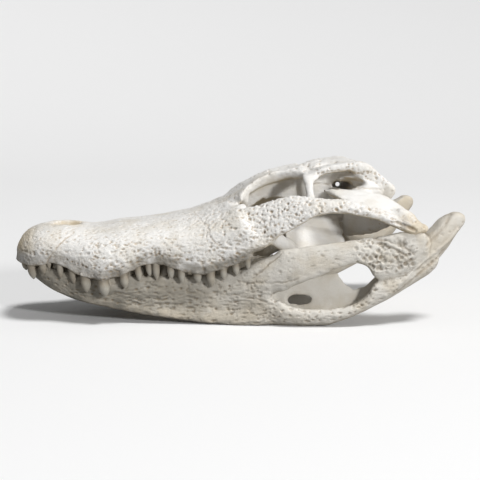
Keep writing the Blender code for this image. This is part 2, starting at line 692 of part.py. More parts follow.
def jaw_ring(station):
    """One side of the lower jaw across, ahead of its fenestra."""
    out, inside, keel = jaw_out(station), jaw_in(station), jaw_keel(station)
    top, bottom = jaw_top(station), jaw_bottom(station)
    tall = top - bottom
    lip = min(3.0, (out - inside) * 0.15)
    foot = min(4.0, (keel - inside) * 0.4)
    return [(station, a, z) for a, z in (
        (out - lip * 1.5, top), (out - lip * 0.3, top - tall * 0.08), (out, top - tall * 0.35),
        (out - (out - keel) * 0.25, bottom + tall * 0.3), (keel + foot + 1, bottom + tall * 0.06), (keel + foot - 1, bottom),
        (keel - foot, bottom), (inside + (keel - inside) * 0.2, bottom + tall * 0.16), (inside, bottom + tall * 0.4),
        (inside, top - tall * 0.2), (inside + lip, top - 1),
    )]


def dentary(side, rng):
    """The front of the lower jaw, with its teeth."""
    bone = loft("dentary_" + SIDES[side], [jaw_ring(s) for s in JAW_STATIONS], side)
    return join(bone, *lower_teeth(side, rng))


# The surangular: its upper edge, its lower edge and its thickness.
SURANGULAR = (
    ((236.3, 74, 67), (236.3, 76, 31), 10), ((245, 78, 73.5), (246, 80, 32.5), 9.5),
    ((262, 82, 75.8), (262, 86.5, 41.5), 8.5), ((280, 85.5, 78.5), (280, 89.5, 48.5), 8.5),
    ((298, 88.5, 81.3), (298, 91.5, 56), 8.5), ((313, 90.5, 83), (313, 93, 59.5), 8.5),
    ((325, 92, 84), (324, 93.5, 56.5), 8.5), ((332, 93, 84.8), (331, 93.5, 46.5), 8.5),
    ((344, 95.5, 87), (343, 93.5, 45.5), 8.5), ((356, 97.5, 90), (356, 93, 49), 8.5),
    ((368, 98, 90.3), (370, 92.5, 55), 8), ((379, 95.5, 88), (383, 91, 64), 6),
)
# The angular, by station: outer and inner spread of its foot, lowest and highest point outside.
ANGULAR = (
    (236.3, 76, 62, 0, 27.5), (243, 78.5, 63.5, 0, 26), (252, 81, 65, 0, 20), (264, 84, 67, 0, 17),
    (290, 88, 70.5, 0.6, 16.5), (306, 90, 72, 6, 18.5), (318, 91.5, 73, 11.5, 23), (327, 92.5, 73, 15.5, 31),
    (332, 93, 73, 18, 42), (344, 93, 73, 23.5, 44.5), (358, 92, 72, 31, 48.5), (372, 91, 71, 39, 55),
    (386, 90.5, 71, 47, 64), (394, 89, 72, 54, 70),
)
# The articular, by station: inner and outer spread, lowest and highest point.
ARTICULAR = (
    (344, 70, 84, 62, 78), (352, 67, 88.5, 55, 86), (362, 66.5, 90, 52, 86.5), (374, 66.5, 90.5, 52, 85.5),
    (383, 66.5, 90.5, 53, 84.5), (390, 67, 90, 57, 90.5), (397, 68, 89, 62, 98.5), (405, 69, 87.5, 72, 104.5),
    (413, 71.5, 86, 85, 106), (419, 74, 84, 93, 103.5), (421.5, 77, 81.5, 96.5, 101),
)


def surangular(side):
    """The upper bar of the lower jaw, over the fenestra and back to the joint."""
    return loft("surangular_" + SIDES[side], [slab_ring(*ring) for ring in SURANGULAR], side)


def angular(side):
    """The lower bar of the lower jaw, under the fenestra. The skull rests on its flat foot."""
    rings = []
    for station, out, inside, low, high in ANGULAR:
        tall = high - low
        rings.append([(station, a, z) for a, z in (
            (out - 1, high - 1), (out + 0.6, low + tall * 0.6), (out - 2.5, low + tall * 0.2), (out - 8, low),
            (inside + 4, low), (inside, low + min(tall * 0.3, 6)), (inside + 0.5, low + min(tall * 0.7, 13)),
            (inside + 5, low + min(tall * 0.8, 14)), (out - 9, low + min(tall * 0.8, 14)), (out - 7, high - 1),
            (out - 4, high),
        )])
    return loft("angular_" + SIDES[side], rings, side)


def articular(side):
    """The jaw joint's lower half, with the process that reaches up and back behind it."""
    rings = []
    for station, inside, out, low, high in ARTICULAR:
        middle, tall = (inside + out) / 2, high - low
        rings.append([(station, a, z) for a, z in (
            (out - 1, high - tall * 0.08), (out, high - tall * 0.35), (out - 1, low + tall * 0.3),
            (middle + 3, low), (middle - 3, low), (inside + 1, low + tall * 0.25), (inside, high - tall * 0.3),
            (inside + 1.5, high - tall * 0.06), (middle, high),
        )])
    return loft("articular_" + SIDES[side], rings, side)


# The inner wall of the lower jaw: upper edge, lower edge and thickness.
INNER_WALL = (
    ((236.3, 62.5, 46), (236.3, 65, 9), 3), ((250, 64.5, 45.5), (250, 67.5, 10), 3), ((268, 67, 45.5), (268, 70.5, 11), 3),
    ((286, 69.5, 47), (286, 73, 11.5), 3), ((301, 71, 50), (301, 75, 13), 3), ((307, 72, 40), (308, 75.5, 15), 3),
    ((316, 73, 33.5), (317, 76, 18), 3), ((328, 74, 36.5), (329, 77, 24), 3), ((338, 75, 47), (340, 77, 30), 3),
    ((348, 76, 56), (350, 77.5, 38), 3),
)
INNER_HOLE = ((265, 68, 23.5), (12.5, 12, 4.8))


def inner_wall(side):
    """The splenial and its neighbours, seen through the fenestra, with their own long hole."""
    wall = loft("splenial_" + SIDES[side], [slab_ring(*ring, 0.3) for ring in INNER_WALL], side)
    return cut(wall, ellipsoid("hole_cutter", *INNER_HOLE, side))


def main():
    for obj in list(bpy.data.objects):
        bpy.data.objects.remove(obj)
    rng = random.Random(TOOTH_SEED)
    roof, bridge, table, shelf = nasals(), frontal(), skull_table(), palatines()
    box = seat(braincase(), bridge, table)
    wings = seat(pterygoids(), shelf, box)
    seat(bridge, shelf)
    upper, lower = [roof, bridge, table, shelf, box, wings], []
    for side in SIDES:
        front, back = upper_jaw(side)
        seat(roof, front)
        seat(back, bridge)
        bar, hinge = cheek(side), cheek_hinge(side)
        part_at(bar, CHEEK_PLANE[0], [-n for n in CHEEK_PLANE[1]], side)
        plate = seat(quadrate(side), bar, hinge, table, box, wings)
        column = seat(postorbital_bar(side), bridge, table, bar)
        strut = seat(ectopterygoid(side), wings, back, bar)
        join(front, *upper_teeth(FRONT_TEETH, side, rng))
        join(back, *upper_teeth(CHEEK_TEETH, side, rng))
        upper += [front, back, bar, hinge, plate, column, strut]
        foot = angular(side)
        rim = seat(surangular(side), foot, plate, hinge)
        joint = seat(articular(side), foot, rim, plate, hinge)
        wall = seat(inner_wall(side), foot, rim, joint)
        lower += [dentary(side, rng), foot, rim, joint, wall]
    for parts, name, colour in ((upper, "cream bone", CREAM), (lower, "tan bone", TAN)):
        for part in parts:
            finish(part, bone_material(name + " " + part.name, colour))


main()
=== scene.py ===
"""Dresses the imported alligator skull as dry, weathered bone with worn teeth, in a pale studio.

Lengths here are millimetres in skull space: the station runs rearwards from the tip of the snout,
the spread runs sideways from the middle plane with the animal's left side negative, and the height
runs up from the floor. Meshes are turned into metres when they are built.
"""

from __future__ import annotations

import logging
import math
from abc import ABC, abstractmethod
from dataclasses import dataclass, field
from enum import Enum
from typing import Callable

import bmesh
import bpy
import numpy as np
from mathutils import Matrix, Vector
from mathutils.bvhtree import BVHTree

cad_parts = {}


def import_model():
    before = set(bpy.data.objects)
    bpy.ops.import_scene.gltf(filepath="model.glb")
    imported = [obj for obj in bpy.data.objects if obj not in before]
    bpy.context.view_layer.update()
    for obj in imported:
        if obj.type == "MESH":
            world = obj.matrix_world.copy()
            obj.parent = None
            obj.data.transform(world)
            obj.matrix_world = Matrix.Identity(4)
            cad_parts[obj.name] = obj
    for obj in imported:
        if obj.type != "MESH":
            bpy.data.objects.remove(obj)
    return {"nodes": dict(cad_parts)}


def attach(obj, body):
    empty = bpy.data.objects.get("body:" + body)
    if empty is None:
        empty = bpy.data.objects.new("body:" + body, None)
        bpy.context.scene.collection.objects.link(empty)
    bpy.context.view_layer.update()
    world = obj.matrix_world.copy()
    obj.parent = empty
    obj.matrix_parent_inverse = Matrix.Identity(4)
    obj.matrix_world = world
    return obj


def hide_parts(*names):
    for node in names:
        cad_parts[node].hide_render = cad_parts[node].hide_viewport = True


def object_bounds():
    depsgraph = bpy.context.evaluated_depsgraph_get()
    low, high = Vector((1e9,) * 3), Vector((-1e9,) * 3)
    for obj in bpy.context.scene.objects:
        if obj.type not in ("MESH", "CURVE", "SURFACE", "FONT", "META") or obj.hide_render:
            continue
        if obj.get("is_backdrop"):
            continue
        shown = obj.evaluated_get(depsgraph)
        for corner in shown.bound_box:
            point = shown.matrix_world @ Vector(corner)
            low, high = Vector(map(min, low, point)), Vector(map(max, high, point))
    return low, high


log = logging.getLogger("skull")

MM = 0.001
BODY = "root"
WELD = 1e-6

# Whole numbers that stir a cell's place and salt into a random number.
SPREAD_PRIMES = (374761393, 668265263, 1274126177)
SALT_PRIME = 974634599
MIX_FACTORS = (1103515245, 1540483477)
WORD = 0xFFFFFFFF
KEY_STRETCH = 7919.0

# How far the salts of fields that are used together lie apart, so that no two are alike.
OCTAVE_SALT = 17
KEY_SALT = 5
PATCH_FIELDS = range(11, 14)
LINE_FIELDS = range(40, 42)
CREST_FIELDS = range(50, 53)
PIT_FIELDS = range(60, 63)

# Masks below this are left out, and the two pulls of smoothing that keeps the volume.
FAINT = 0.02
SHRINK_AND_GROW = (0.5, -0.512)

# The broad unevenness of every bone, how deep sutures are cut, and how dark hollows get with dirt and painted
# shade.
SWELLING = 0.4
SWELLING_SIZE = 13.0
SUTURE_DEPTH = 0.5
DIRT_AND_SHADE = 0.75

Floats = np.ndarray
Whole = np.ndarray
Triple = tuple[float, float, float]
Colour = tuple[float, float, float]
Outline = tuple[tuple[float, float], ...]


class Side(Enum):
    """The animal's two sides, by the sign of their spread."""

    LEFT = -1
    RIGHT = 1

    @property
    def word(self) -> str:
        """The side's name in the nodes' names."""
        return self.name.lower()

    @property
    def salt(self) -> int:
        """Gives each side its own random fields."""
        return 1000 if self is Side.RIGHT else 2000


class Slot(Enum):
    """Names of the two material slots, which the dressers and crowns hold but do not use."""

    UPPER = "upper_bone"
    LOWER = "lower_bone"


def smooth_step(low: float, high: float, values: Floats) -> Floats:
    """A smooth ramp from 0 at low to 1 at high.

    Args:
        low: Where the ramp starts. It may lie above high, for a ramp that falls.
        high: Where the ramp ends.
        values: The values to look up.

    Returns:
        The ramp's height at each value.
    """
    share = np.clip((values - low) / (high - low), 0, 1)
    return share * share * (3 - 2 * share)


def band(values: Floats, low: float, high: float, soft: float) -> Floats:
    """1 between low and high and 0 outside, with soft edges.

    Args:
        values: The values to look up.
        low: The band's lower edge.
        high: The band's upper edge.
        soft: Half the width of each edge's ramp.

    Returns:
        The band's height at each value.
    """
    return smooth_step(low - soft, low + soft, values) * smooth_step(high + soft, high - soft, values)


def scatter(cells: Whole, salt: int) -> Floats:
    """An even random number from 0 to 1 for each whole-number cell.

    Args:
        cells: Rows of three whole numbers.
        salt: Picks one of many independent fields.

    Returns:
        One number for each row, the same on every run.
    """
    mixed = (cells @ np.array(SPREAD_PRIMES) + salt * SALT_PRIME) & WORD
    mixed = ((mixed ^ (mixed >> 13)) * MIX_FACTORS[0]) & WORD
    mixed = ((mixed ^ (mixed >> 16)) * MIX_FACTORS[1]) & WORD
    return (mixed ^ (mixed >> 15)) / float(WORD + 1)


def rumple(points: Floats, size: float | Triple, salt: int, octaves: int) -> Floats:
    """Smooth random waves through space.

    Args:
        points: Rows of skull-space points.
        size: The waves' length, or three lengths along station, spread and height.
        salt: Picks one of many independent fields.
        octaves: How many finer copies are added, each half as long and half as high.

    Returns:
        A value from about -1 to 1 for each point.
    """
    total, reach, weight = np.zeros(len(points)), 0.0, 1.0
    for octave in range(octaves):
        place = points * 2.0**octave / np.asarray(size)
        base = np.floor(place)
        share = place - base
        share = share * share * (3 - 2 * share)
        base = base.astype(np.int64)
        for corner in np.ndindex(2, 2, 2):
            blend = np.prod(np.where(corner, share, 1 - share), axis=1)
            total += weight * blend * (2 * scatter(base + np.array(corner), salt + OCTAVE_SALT * octave) - 1)
        reach += weight
        weight /= 2
    return total / reach


def drift(points: Floats, size: float, salt: int, fields: range, octaves: int) -> Floats:
    """Smooth random shifts through space.

    Args:
        points: Rows of skull-space points.
        size: The waves' length.
        salt: Picks one of many independent sets of fields.
        fields: One field for each column of the result, counted from the salt.
        octaves: How many finer copies are added.

    Returns:
        A row of shifts, each from about -1 to 1, for each point.
    """
    return np.stack([rumple(points, size, salt + number, octaves) for number in fields], axis=1)


def cells(points: Floats, size: Triple, salt: int) -> tuple[Floats, Floats, Floats]:
    """The nearest of a jittered grid of seeds to each point, as in a foam.

    Args:
        points: Rows of skull-space points.
        size: The cells' sizes along station, spread and height.
        salt: Picks one of many independent fields.

    Returns:
        The distance to the nearest seed and to the second nearest, in cell sizes, and a random
        number for the nearest seed.
    """
    place = points / np.asarray(size)
    base = np.floor(place).astype(np.int64)
    first = np.full(len(points), np.inf)
    second = np.full(len(points), np.inf)
    key = np.zeros(len(points))
    for step in np.ndindex(3, 3, 3):
        cell = base + (np.array(step) - 1)
        seed = np.stack([scatter(cell, salt + axis) for axis in range(3)], axis=1) + cell
        gap = np.sqrt(((place - seed) ** 2).sum(axis=1))
        nearer = gap < first
        second = np.where(nearer, first, np.minimum(second, gap))
        key = np.where(nearer, scatter(cell, salt + KEY_SALT), key)
        first = np.where(nearer, gap, first)
    return first, second, key


def line_distance(points: Floats, line: Outline) -> Floats:
    """How far flat points lie from a line of straight runs.

    Args:
        points: Rows of two coordinates.
        line: The line's corners.

    Returns:
        The distance of each point.
    """
    corners = np.asarray(line, float)
    nearest = np.full(len(points), np.inf)
    for start, end in zip(corners, corners[1:]):
        run = end - start
        share = np.clip(((points - start) @ run) / (run @ run), 0, 1)
        nearest = np.minimum(nearest, np.linalg.norm(points - start - share[:, None] * run, axis=1))
    return nearest


@dataclass
class Skin:
    """A closed surface of squares over bones that have grown together, in skull space."""

    points: Floats
    squares: Whole
    edges: Whole
    bones: list[str]
    bone_of: Whole
    normals: Floats = field(init=False)
    lift: Floats = field(init=False)
    # Colour fields: cavity darkens hollows and stain tints stains, both partly painted shade; grime is
    # painted shade only.
    cavity: Floats = field(init=False)
    stain: Floats = field(init=False)
    grime: Floats = field(init=False)

    def __post_init__(self) -> None:
        """Readies the fields that the sculpting adds to."""
        count = len(self.points)
        self.lift, self.cavity, self.stain, self.grime = (np.zeros(count) for _ in range(4))
        self.turn_normals()

    def turn_normals(self) -> None:
        """Works out each point's outward normal."""
        corner = [self.points[self.squares[:, i]] for i in range(4)]
        faces = np.cross(corner[2] - corner[0], corner[3] - corner[1])
        total = np.zeros_like(self.points)
        for i in range(4):
            for axis in range(3):
                total[:, axis] += np.bincount(self.squares[:, i], faces[:, axis], len(self.points))
        self.normals = total / np.maximum(np.linalg.norm(total, axis=1, keepdims=True), 1e-9)

    def neighbour_mean(self, values: Floats) -> Floats:
        """The mean of each point's neighbours along the edges.

        Args:
            values: One value for each point.

        Returns:
            The mean at each point.
        """
        first, second = self.edges[:, 0], self.edges[:, 1]
        count = len(self.points)
        total = np.bincount(first, values[second], count) + np.bincount(second, values[first], count)
        return total / np.maximum(np.bincount(self.edges.ravel(), minlength=count), 1)

    def feathered(self, values: Floats, rounds: int) -> Floats:
        """Spreads values softly to the points around them.

        Args:
            values: One value for each point.
            rounds: How many rounds are taken, each one edge further.

        Returns:
            The softened values.
        """
        for _ in range(rounds):
            values = (values + self.neighbour_mean(values)) / 2
        return values

    def relaxed(self, rounds: int) -> Floats:
        """The points after smoothing that keeps their volume.

        Args:
            rounds: How many pairs of a shrinking and a growing step are taken.

        Returns:
            The smoothed points. The skin itself stays as it is.
        """
        points = self.points.copy()
        for _ in range(rounds):
            for pull in SHRINK_AND_GROW:
                for axis in range(3):
                    column = points[:, axis]
                    points[:, axis] = column + pull * (self.neighbour_mean(column) - column)
        return points

    def soften(self, fine: int, broad: int, near: float, far: float) -> None:
        """Rounds off the facets of broad faces, and keeps edges and thin bars.

        Args:
            fine: Smoothing rounds everywhere.
            broad: Smoothing rounds on broad faces.
            near: Movement up to which the broad smoothing is taken in full.
            far: Movement from which only the fine smoothing is kept.
        """
        fine_points, broad_points = self.relaxed(fine), self.relaxed(broad)
        move = np.linalg.norm(broad_points - fine_points, axis=1)
        share = self.feathered(smooth_step(far, near, move), 6)
        self.points = fine_points + (broad_points - fine_points) * share[:, None]
        self.turn_normals()

    def blend(self, middle: Triple, normal: Triple, reach: float, rounds: int) -> None:
        """Smooths the skin beside a plane on both sides, so that no step shows where two bones meet.

        Args:
            middle: A point of the plane, with its spread left out of account.
            normal: The plane's normal.
            reach: How far from the plane the smoothing is taken in full.
            rounds: How many rounds are taken.
        """
        gap = np.abs((self.points - middle) @ np.asarray(normal))
        share = 0.5 * smooth_step(reach * 1.8, reach * 0.6, gap)
        for _ in range(rounds):
            for axis in range(3):
                column = self.points[:, axis]
                self.points[:, axis] = column + share * (self.neighbour_mean(column) - column)

    def settle(self) -> None:
        """Moves each point along its normal by the lift that the sculpting has added up."""
        self.points = self.points + self.normals * self.lift[:, None]
        self.lift[:] = 0
        self.turn_normals()

    def on(self, *names: str) -> Floats:
        """1 on the named bones and 0 elsewhere, with a soft edge.

        Args:
            names: Starts of bones' names.

        Returns:
            The mask at each point.
        """
        wanted = [i for i, bone in enumerate(self.bones) if bone.startswith(names)]
        return self.feathered(np.isin(self.bone_of_point, wanted).astype(float), 4)

    @property
    def bone_of_point(self) -> Whole:
        """The bone that each point belongs to, by its last square.

        Returns:
            The bone's number at each point.
        """
        owner = np.zeros(len(self.points), int)
        owner[self.squares.ravel()] = np.repeat(self.bone_of, 4)
        return owner


@dataclass(frozen=True)
class Lump:
    """A rounded form that is added to a bone, on the bone's side. Its pitch raises its front, in degrees."""

    place: Triple
    radii: Triple
    bone: str
    pitch: float = 0.0
    fineness: int = 3

    def mesh(self, side: int) -> tuple[Floats, Whole]:
        """The form on one side of the skull.

        Args:
            side: The sign of that side's spread.

        Returns:
            Its points in skull space and its triangles.
        """
        ball = bmesh.new()
        bmesh.ops.create_icosphere(ball, subdivisions=self.fineness, radius=1)
        points = np.array([vert.co[:] for vert in ball.verts]) * self.radii
        faces = np.array([[vert.index for vert in face.verts] for face in ball.faces])
        ball.free()
        pitch = math.radians(self.pitch)
        x, y, z = points.T
        x, z = x * math.cos(pitch) + z * math.sin(pitch), z * math.cos(pitch) - x * math.sin(pitch)
        points = (np.stack([x, y, z], axis=1) + self.place) * (1, side, 1)
        return points, faces if side > 0 else faces[:, ::-1]


@dataclass(frozen=True)
class Tunnel:
    """A round passage bored through some bones."""

    start: Triple
    end: Triple
    radius: float
    bones: tuple[str, ...]
    sides: int = 20

    def cutter(self) -> tuple[Floats, list]:
        """The rod that bores it.

        Returns:
            The rod's points in skull space and its faces.
        """
        ends = [Vector(self.start), Vector(self.end)]
        run = ends[1] - ends[0]
        rod = bmesh.new()
        wide = {"radius1": self.radius, "radius2": self.radius}
        bmesh.ops.create_cone(rod, cap_ends=True, segments=self.sides, depth=run.length, **wide)
        bmesh.ops.rotate(rod, verts=rod.verts, matrix=run.to_track_quat("Z", "Y").to_matrix())
        bmesh.ops.translate(rod, verts=rod.verts, vec=(ends[0] + ends[1]) / 2)
        points = np.array([vert.co[:] for vert in rod.verts])
        faces = [[vert.index for vert in face.verts] for face in rod.faces]
        rod.free()
        return points, faces


def curve_point(corners: tuple[Floats, Floats, Floats, Floats], share: float) -> Floats:
    """A point of a smooth curve through four corners, between the middle two.

    Args:
        corners: The corners in order.
        share: How far it lies from the second corner to the third, from 0 to 1.

    Returns:
        The point.
    """
    a, b, c, d = corners
    bend, twist = 2 * a - 5 * b + 4 * c - d, 3 * b - a - 3 * c + d
    return (2 * b + (c - a) * share + bend * share**2 + twist * share**3) / 2


@dataclass(frozen=True)
class Window:
    """An opening with a round-cornered outline, cut straight through some bones of one side."""

    outline: Outline
    spreads: tuple[float, float]
    side: Side
    bones: tuple[str, ...]
    steps: int = 6

    def cutter(self) -> tuple[Floats, list]:
        """The block that cuts it.

        Returns:
            The block's points in skull space and its faces.
        """
        corners = np.asarray(self.outline, float)
        runs = list(zip(*(np.roll(corners, shift, axis=0) for shift in (1, 0, -1, -2))))
        flat = [curve_point(run, step / self.steps) for run in runs for step in range(self.steps)]
        count = len(flat)
        points = [(s, spread * self.side.value, z) for spread in self.spreads for s, z in flat]
        sides = [(i, (i + 1) % count, (i + 1) % count + count, i + count) for i in range(count)]
        faces = [tuple(range(count))[::-1], *sides, tuple(range(count, 2 * count))]
        block = bmesh.new()
        verts = [block.verts.new(point) for point in points]
        for face in faces:
            block.faces.new([verts[i] for i in face])
        bmesh.ops.recalc_face_normals(block, faces=block.faces)
        block.verts.index_update()
        faces = [[vert.index for vert in face.verts] for face in block.faces]
        block.free()
        return np.array(points), faces


@dataclass(frozen=True)
class Tooth:
    """A tooth's place and size: its station and its width at the neck."""

    station: float
    width: float


class BoneGroup(ABC):
    """Bones that one skin is drawn over before they are parted again."""

    @abstractmethod
    def names(self) -> list[str]:
        """The nodes of the group."""

    @abstractmethod
    def lumps(self) -> list[Lump]:
        """Rounded forms that are added to the bones."""

    @abstractmethod
    def cuts(self) -> list[Tunnel | Window]:
        """Openings that are cut through the bones."""

    @abstractmethod
    def shape(self, rough: Skin) -> None:
        """Moves the points of the rough skin."""

    @abstractmethod
    def sculpt(self, skin: Skin) -> None:
        """Gives the fine skin its relief."""


def worked(mesh: bpy.types.Mesh, kind: str, **settings: object) -> bpy.types.Mesh:
    """A mesh after one modifier. The mesh that goes in is removed.

    Args:
        mesh: The mesh to work on.
        kind: The modifier's type.
        settings: The modifier's settings by name.

    Returns:
        The new mesh.
    """
    holder = bpy.data.objects.new("work", mesh)
    bpy.context.scene.collection.objects.link(holder)
    step = holder.modifiers.new("work", kind)
    for name, value in settings.items():
        setattr(step, name, value)
    graph = bpy.context.evaluated_depsgraph_get()
    result = bpy.data.meshes.new_from_object(holder.evaluated_get(graph))
    bpy.data.objects.remove(holder)
    bpy.data.meshes.remove(mesh)
    return result


def arrays(mesh: bpy.types.Mesh) -> tuple[Floats, Whole, Whole]:
    """Reads a mesh of squares, which is removed.

    Args:
        mesh: The mesh.

    Returns:
        Its points, squares and edges.
    """
    flat, squares = np.zeros(len(mesh.vertices) * 3), np.zeros(len(mesh.polygons) * 4, int)
    edges = np.zeros(len(mesh.edges) * 2, int)
    mesh.vertices.foreach_get("co", flat)
    mesh.loops.foreach_get("vertex_index", squares)
    mesh.edges.foreach_get("vertices", edges)
    bpy.data.meshes.remove(mesh)
    return flat.reshape(-1, 3), squares.reshape(-1, 4), edges.reshape(-1, 2)


@dataclass
class Workshop:
    """Reads the frame and turns its bones into skins."""

    nodes: dict[str, bpy.types.Object]
    nose: float
    voxel: float = 1.9
    grow: float = 0.3
    wander: float = 2.2
    wander_size: float = 7.0
    smallest_patch: int = 400
    patch_rounds: int = 3
    fine_rounds: int = 3
    broad_rounds: int = 80
    broad_reach: tuple[float, float] = (1.5, 3.4)

    def frame_points(self, points: Floats) -> Floats:
        """Skull-space points in metres, in the frame."""
        return (points + np.array([self.nose, 0, 0])) * MM

    def bone_mesh(self, bone: str, cuts: list[Tunnel | Window]) -> tuple[Floats, list[list[int]]]:
        """A bone's points, grown a little so that it meets its neighbours, and its faces.

        Args:
            bone: The node's name.
            cuts: The openings of the whole group. Those through this bone are cut.

        Returns:
            The points in skull space, and the faces.
        """
        source = self.nodes[bone].data.copy()
        for cut in cuts:
            if bone.startswith(cut.bones):
                source = self.opened(self.welded(source), cut)
        mesh = bmesh.new()
        mesh.from_mesh(self.welded(source))
        mesh.normal_update()
        points = np.array([vert.co + vert.normal * self.grow * MM for vert in mesh.verts])
        faces = [[vert.index for vert in face.verts] for face in mesh.faces]
        mesh.free()
        return points / MM - np.array([self.nose, 0, 0]), faces

    def welded(self, mesh: bpy.types.Mesh) -> bpy.types.Mesh:
        """Joins up a mesh's loose triangles.

        Args:
            mesh: The mesh, which is changed.

        Returns:
            The same mesh.
        """
        joined = bmesh.new()
        joined.from_mesh(mesh)
        bmesh.ops.remove_doubles(joined, verts=joined.verts, dist=WELD)
        joined.to_mesh(mesh)
        joined.free()
        return mesh

    def opened(self, mesh: bpy.types.Mesh, cut: Tunnel | Window) -> bpy.types.Mesh:
        """A mesh with an opening cut through it.

        Args:
            mesh: The mesh to cut, which is removed.
            cut: The opening.

        Returns:
            The cut mesh.
        """
        points, faces = cut.cutter()
        drill = bpy.data.objects.new("drill", bpy.data.meshes.new("drill"))
        drill.data.from_pydata(self.frame_points(points).tolist(), [], faces)
        bpy.context.scene.collection.objects.link(drill)
        result = worked(mesh, "BOOLEAN", operation="DIFFERENCE", solver="EXACT", object=drill)
        bpy.data.objects.remove(drill)
        return result

    def gather(self, group: BoneGroup) -> tuple[Floats, list[list[int]], Whole]:
        """Collects a group's bones and added forms.

        Args:
            group: The bones.

        Returns:
            The points in skull space, the faces and the number of each face's bone.
        """
        points, faces, owners, count = [], [], [], 0
        for owner, bone in enumerate(group.names()):
            side = -1 if bone.endswith("left") else 1
            shapes = [self.bone_mesh(bone, group.cuts())]
            shapes += [lump.mesh(side) for lump in group.lumps() if bone.startswith(lump.bone)]
            for block, block_faces in shapes:
                points.append(block)
                faces += [[number + count for number in face] for face in block_faces]
                owners += [owner] * len(block_faces)
                count += len(block)
        return np.concatenate(points), faces, np.array(owners)

    def skin(self, group: BoneGroup) -> Skin:
        """One closed skin over a group of bones: a rough one, smoothed, then halved into finer squares.

        Args:
            group: The bones.

        Returns:
            The skin, with the bone that each of its squares belongs to.
        """
        points, faces, owners = self.gather(group)
        source = bpy.data.meshes.new("source")
        source.from_pydata(points.tolist(), [], faces)
        result = worked(source, "REMESH", mode="VOXEL", voxel_size=self.voxel, adaptivity=0)
        rough_points, squares, edges = arrays(result)
        rough = Skin(rough_points, squares, edges, group.names(), np.zeros(len(squares), int))
        rough.soften(self.fine_rounds, self.broad_rounds, *self.broad_reach)
        group.shape(rough)
        coarse = bpy.data.meshes.new("coarse")
        coarse.from_pydata(rough.points.tolist(), [], squares.tolist())
        fine = arrays(worked(coarse, "SUBSURF", levels=1, render_levels=1))
        tree = BVHTree.FromPolygons(points.tolist(), faces)
        centres = fine[0][fine[1]].mean(axis=1)
        asked = centres + drift(centres, self.wander_size, 0, PATCH_FIELDS, 2) * self.wander
        owner = owners[np.array([tree.find_nearest(point)[2] for point in asked.tolist()])]
        skin = Skin(*fine, group.names(), self.tidy_patches(fine[1], owner))
        log.info("skin over %d bones: %d squares", len(skin.bones), len(skin.squares))
        return skin

    def tidy_patches(self, squares: Whole, owner: Whole) -> Whole:
        """Gives small stray patches to the bone around them.

        Args:
            squares: The skin's squares.
            owner: The bone of each square.

        Returns:
            The bone of each square, with no patch smaller than the smallest one wanted.
        """
        pairs = neighbour_squares(squares)
        for _ in range(self.patch_rounds):
            patch = patches(len(squares), pairs[owner[pairs[:, 0]] == owner[pairs[:, 1]]])
            small = np.bincount(patch)[patch] < self.smallest_patch
            if not small.any():
                break
            edge = pairs[owner[pairs[:, 0]] != owner[pairs[:, 1]]]
            edge = np.concatenate([edge, edge[:, ::-1]])
            edge = edge[small[edge[:, 0]] & ~small[edge[:, 1]]]
            for inside in np.unique(patch[edge[:, 0]]):
                rows = edge[patch[edge[:, 0]] == inside]
                owner[patch == inside] = np.bincount(owner[rows[:, 1]]).argmax()
        return owner


def neighbour_squares(squares: Whole) -> Whole:
    """Pairs of squares that share an edge.

    Args:
        squares: Rows of four point numbers.

    Returns:
        Rows of two square numbers.
    """
    ends = np.concatenate([squares[:, [i, (i + 1) % 4]] for i in range(4)])
    ends.sort(axis=1)
    number = np.tile(np.arange(len(squares)), 4)
    order = np.lexsort((ends[:, 1], ends[:, 0]))
    same = (ends[order][1:] == ends[order][:-1]).all(axis=1)
    return np.stack([number[order][1:][same], number[order][:-1][same]], axis=1)


def patches(count: int, pairs: Whole) -> Whole:
    """Numbers the connected patches of squares.

    Args:
        count: How many squares there are.
        pairs: Rows of two squares that are joined.

    Returns:
        The patch number of each square.
    """
    label = np.arange(count)
    while True:
        lower = np.minimum(label[pairs[:, 0]], label[pairs[:, 1]])
        fresh = label.copy()
        np.minimum.at(fresh, pairs[:, 0], lower)
        np.minimum.at(fresh, pairs[:, 1], lower)
        fresh = fresh[fresh]
        if (fresh == label).all():
            break
        label = fresh
    return np.unique(label, return_inverse=True)[1]


def rim_loops(squares: Whole, count: int) -> list[list[int]]:
    """The open rims of a patch, each as the points along it.

    Args:
        squares: The patch's squares.
        count: How many points the patch has.

    Returns:
        The loops, in the direction of the squares beside them.
    """
    ends = np.concatenate([squares[:, [i, (i + 1) % 4]] for i in range(4)])
    forth, back = ends[:, 0] * count + ends[:, 1], ends[:, 1] * count + ends[:, 0]
    onward: dict[int, list[int]] = {}
    for start, end in ends[~np.isin(forth, back)].tolist():
        onward.setdefault(start, []).append(end)
    loops = []
    while onward:
        here = next(iter(onward))
        loop = []
        while here in onward:
            loop.append(here)
            ahead = onward[here].pop()
            if not onward[here]:
                del onward[here]
            here = ahead
        loops.append(loop)
    return loops


def lined(squares: Whole, points: Floats, normals: Floats, depth: float) -> tuple[Floats, list]:
    """Closes a patch of skin with a lining under it, joined to it along the rims.

    Args:
        squares: The patch's squares.
        points: Its points.
        normals: Its normals.
        depth: How far under the skin the lining lies.

    Returns:
        The lining's points, and the faces of the lining and of the joints.
    """
    count = len(points)
    faces = (squares[:, ::-1] + count).tolist()
    for loop in rim_loops(squares, count):
        for start, end in zip(loop, loop[1:] + loop[:1]):
            faces.append((end, start, start + count, end + count))
    return points - normals * depth, faces


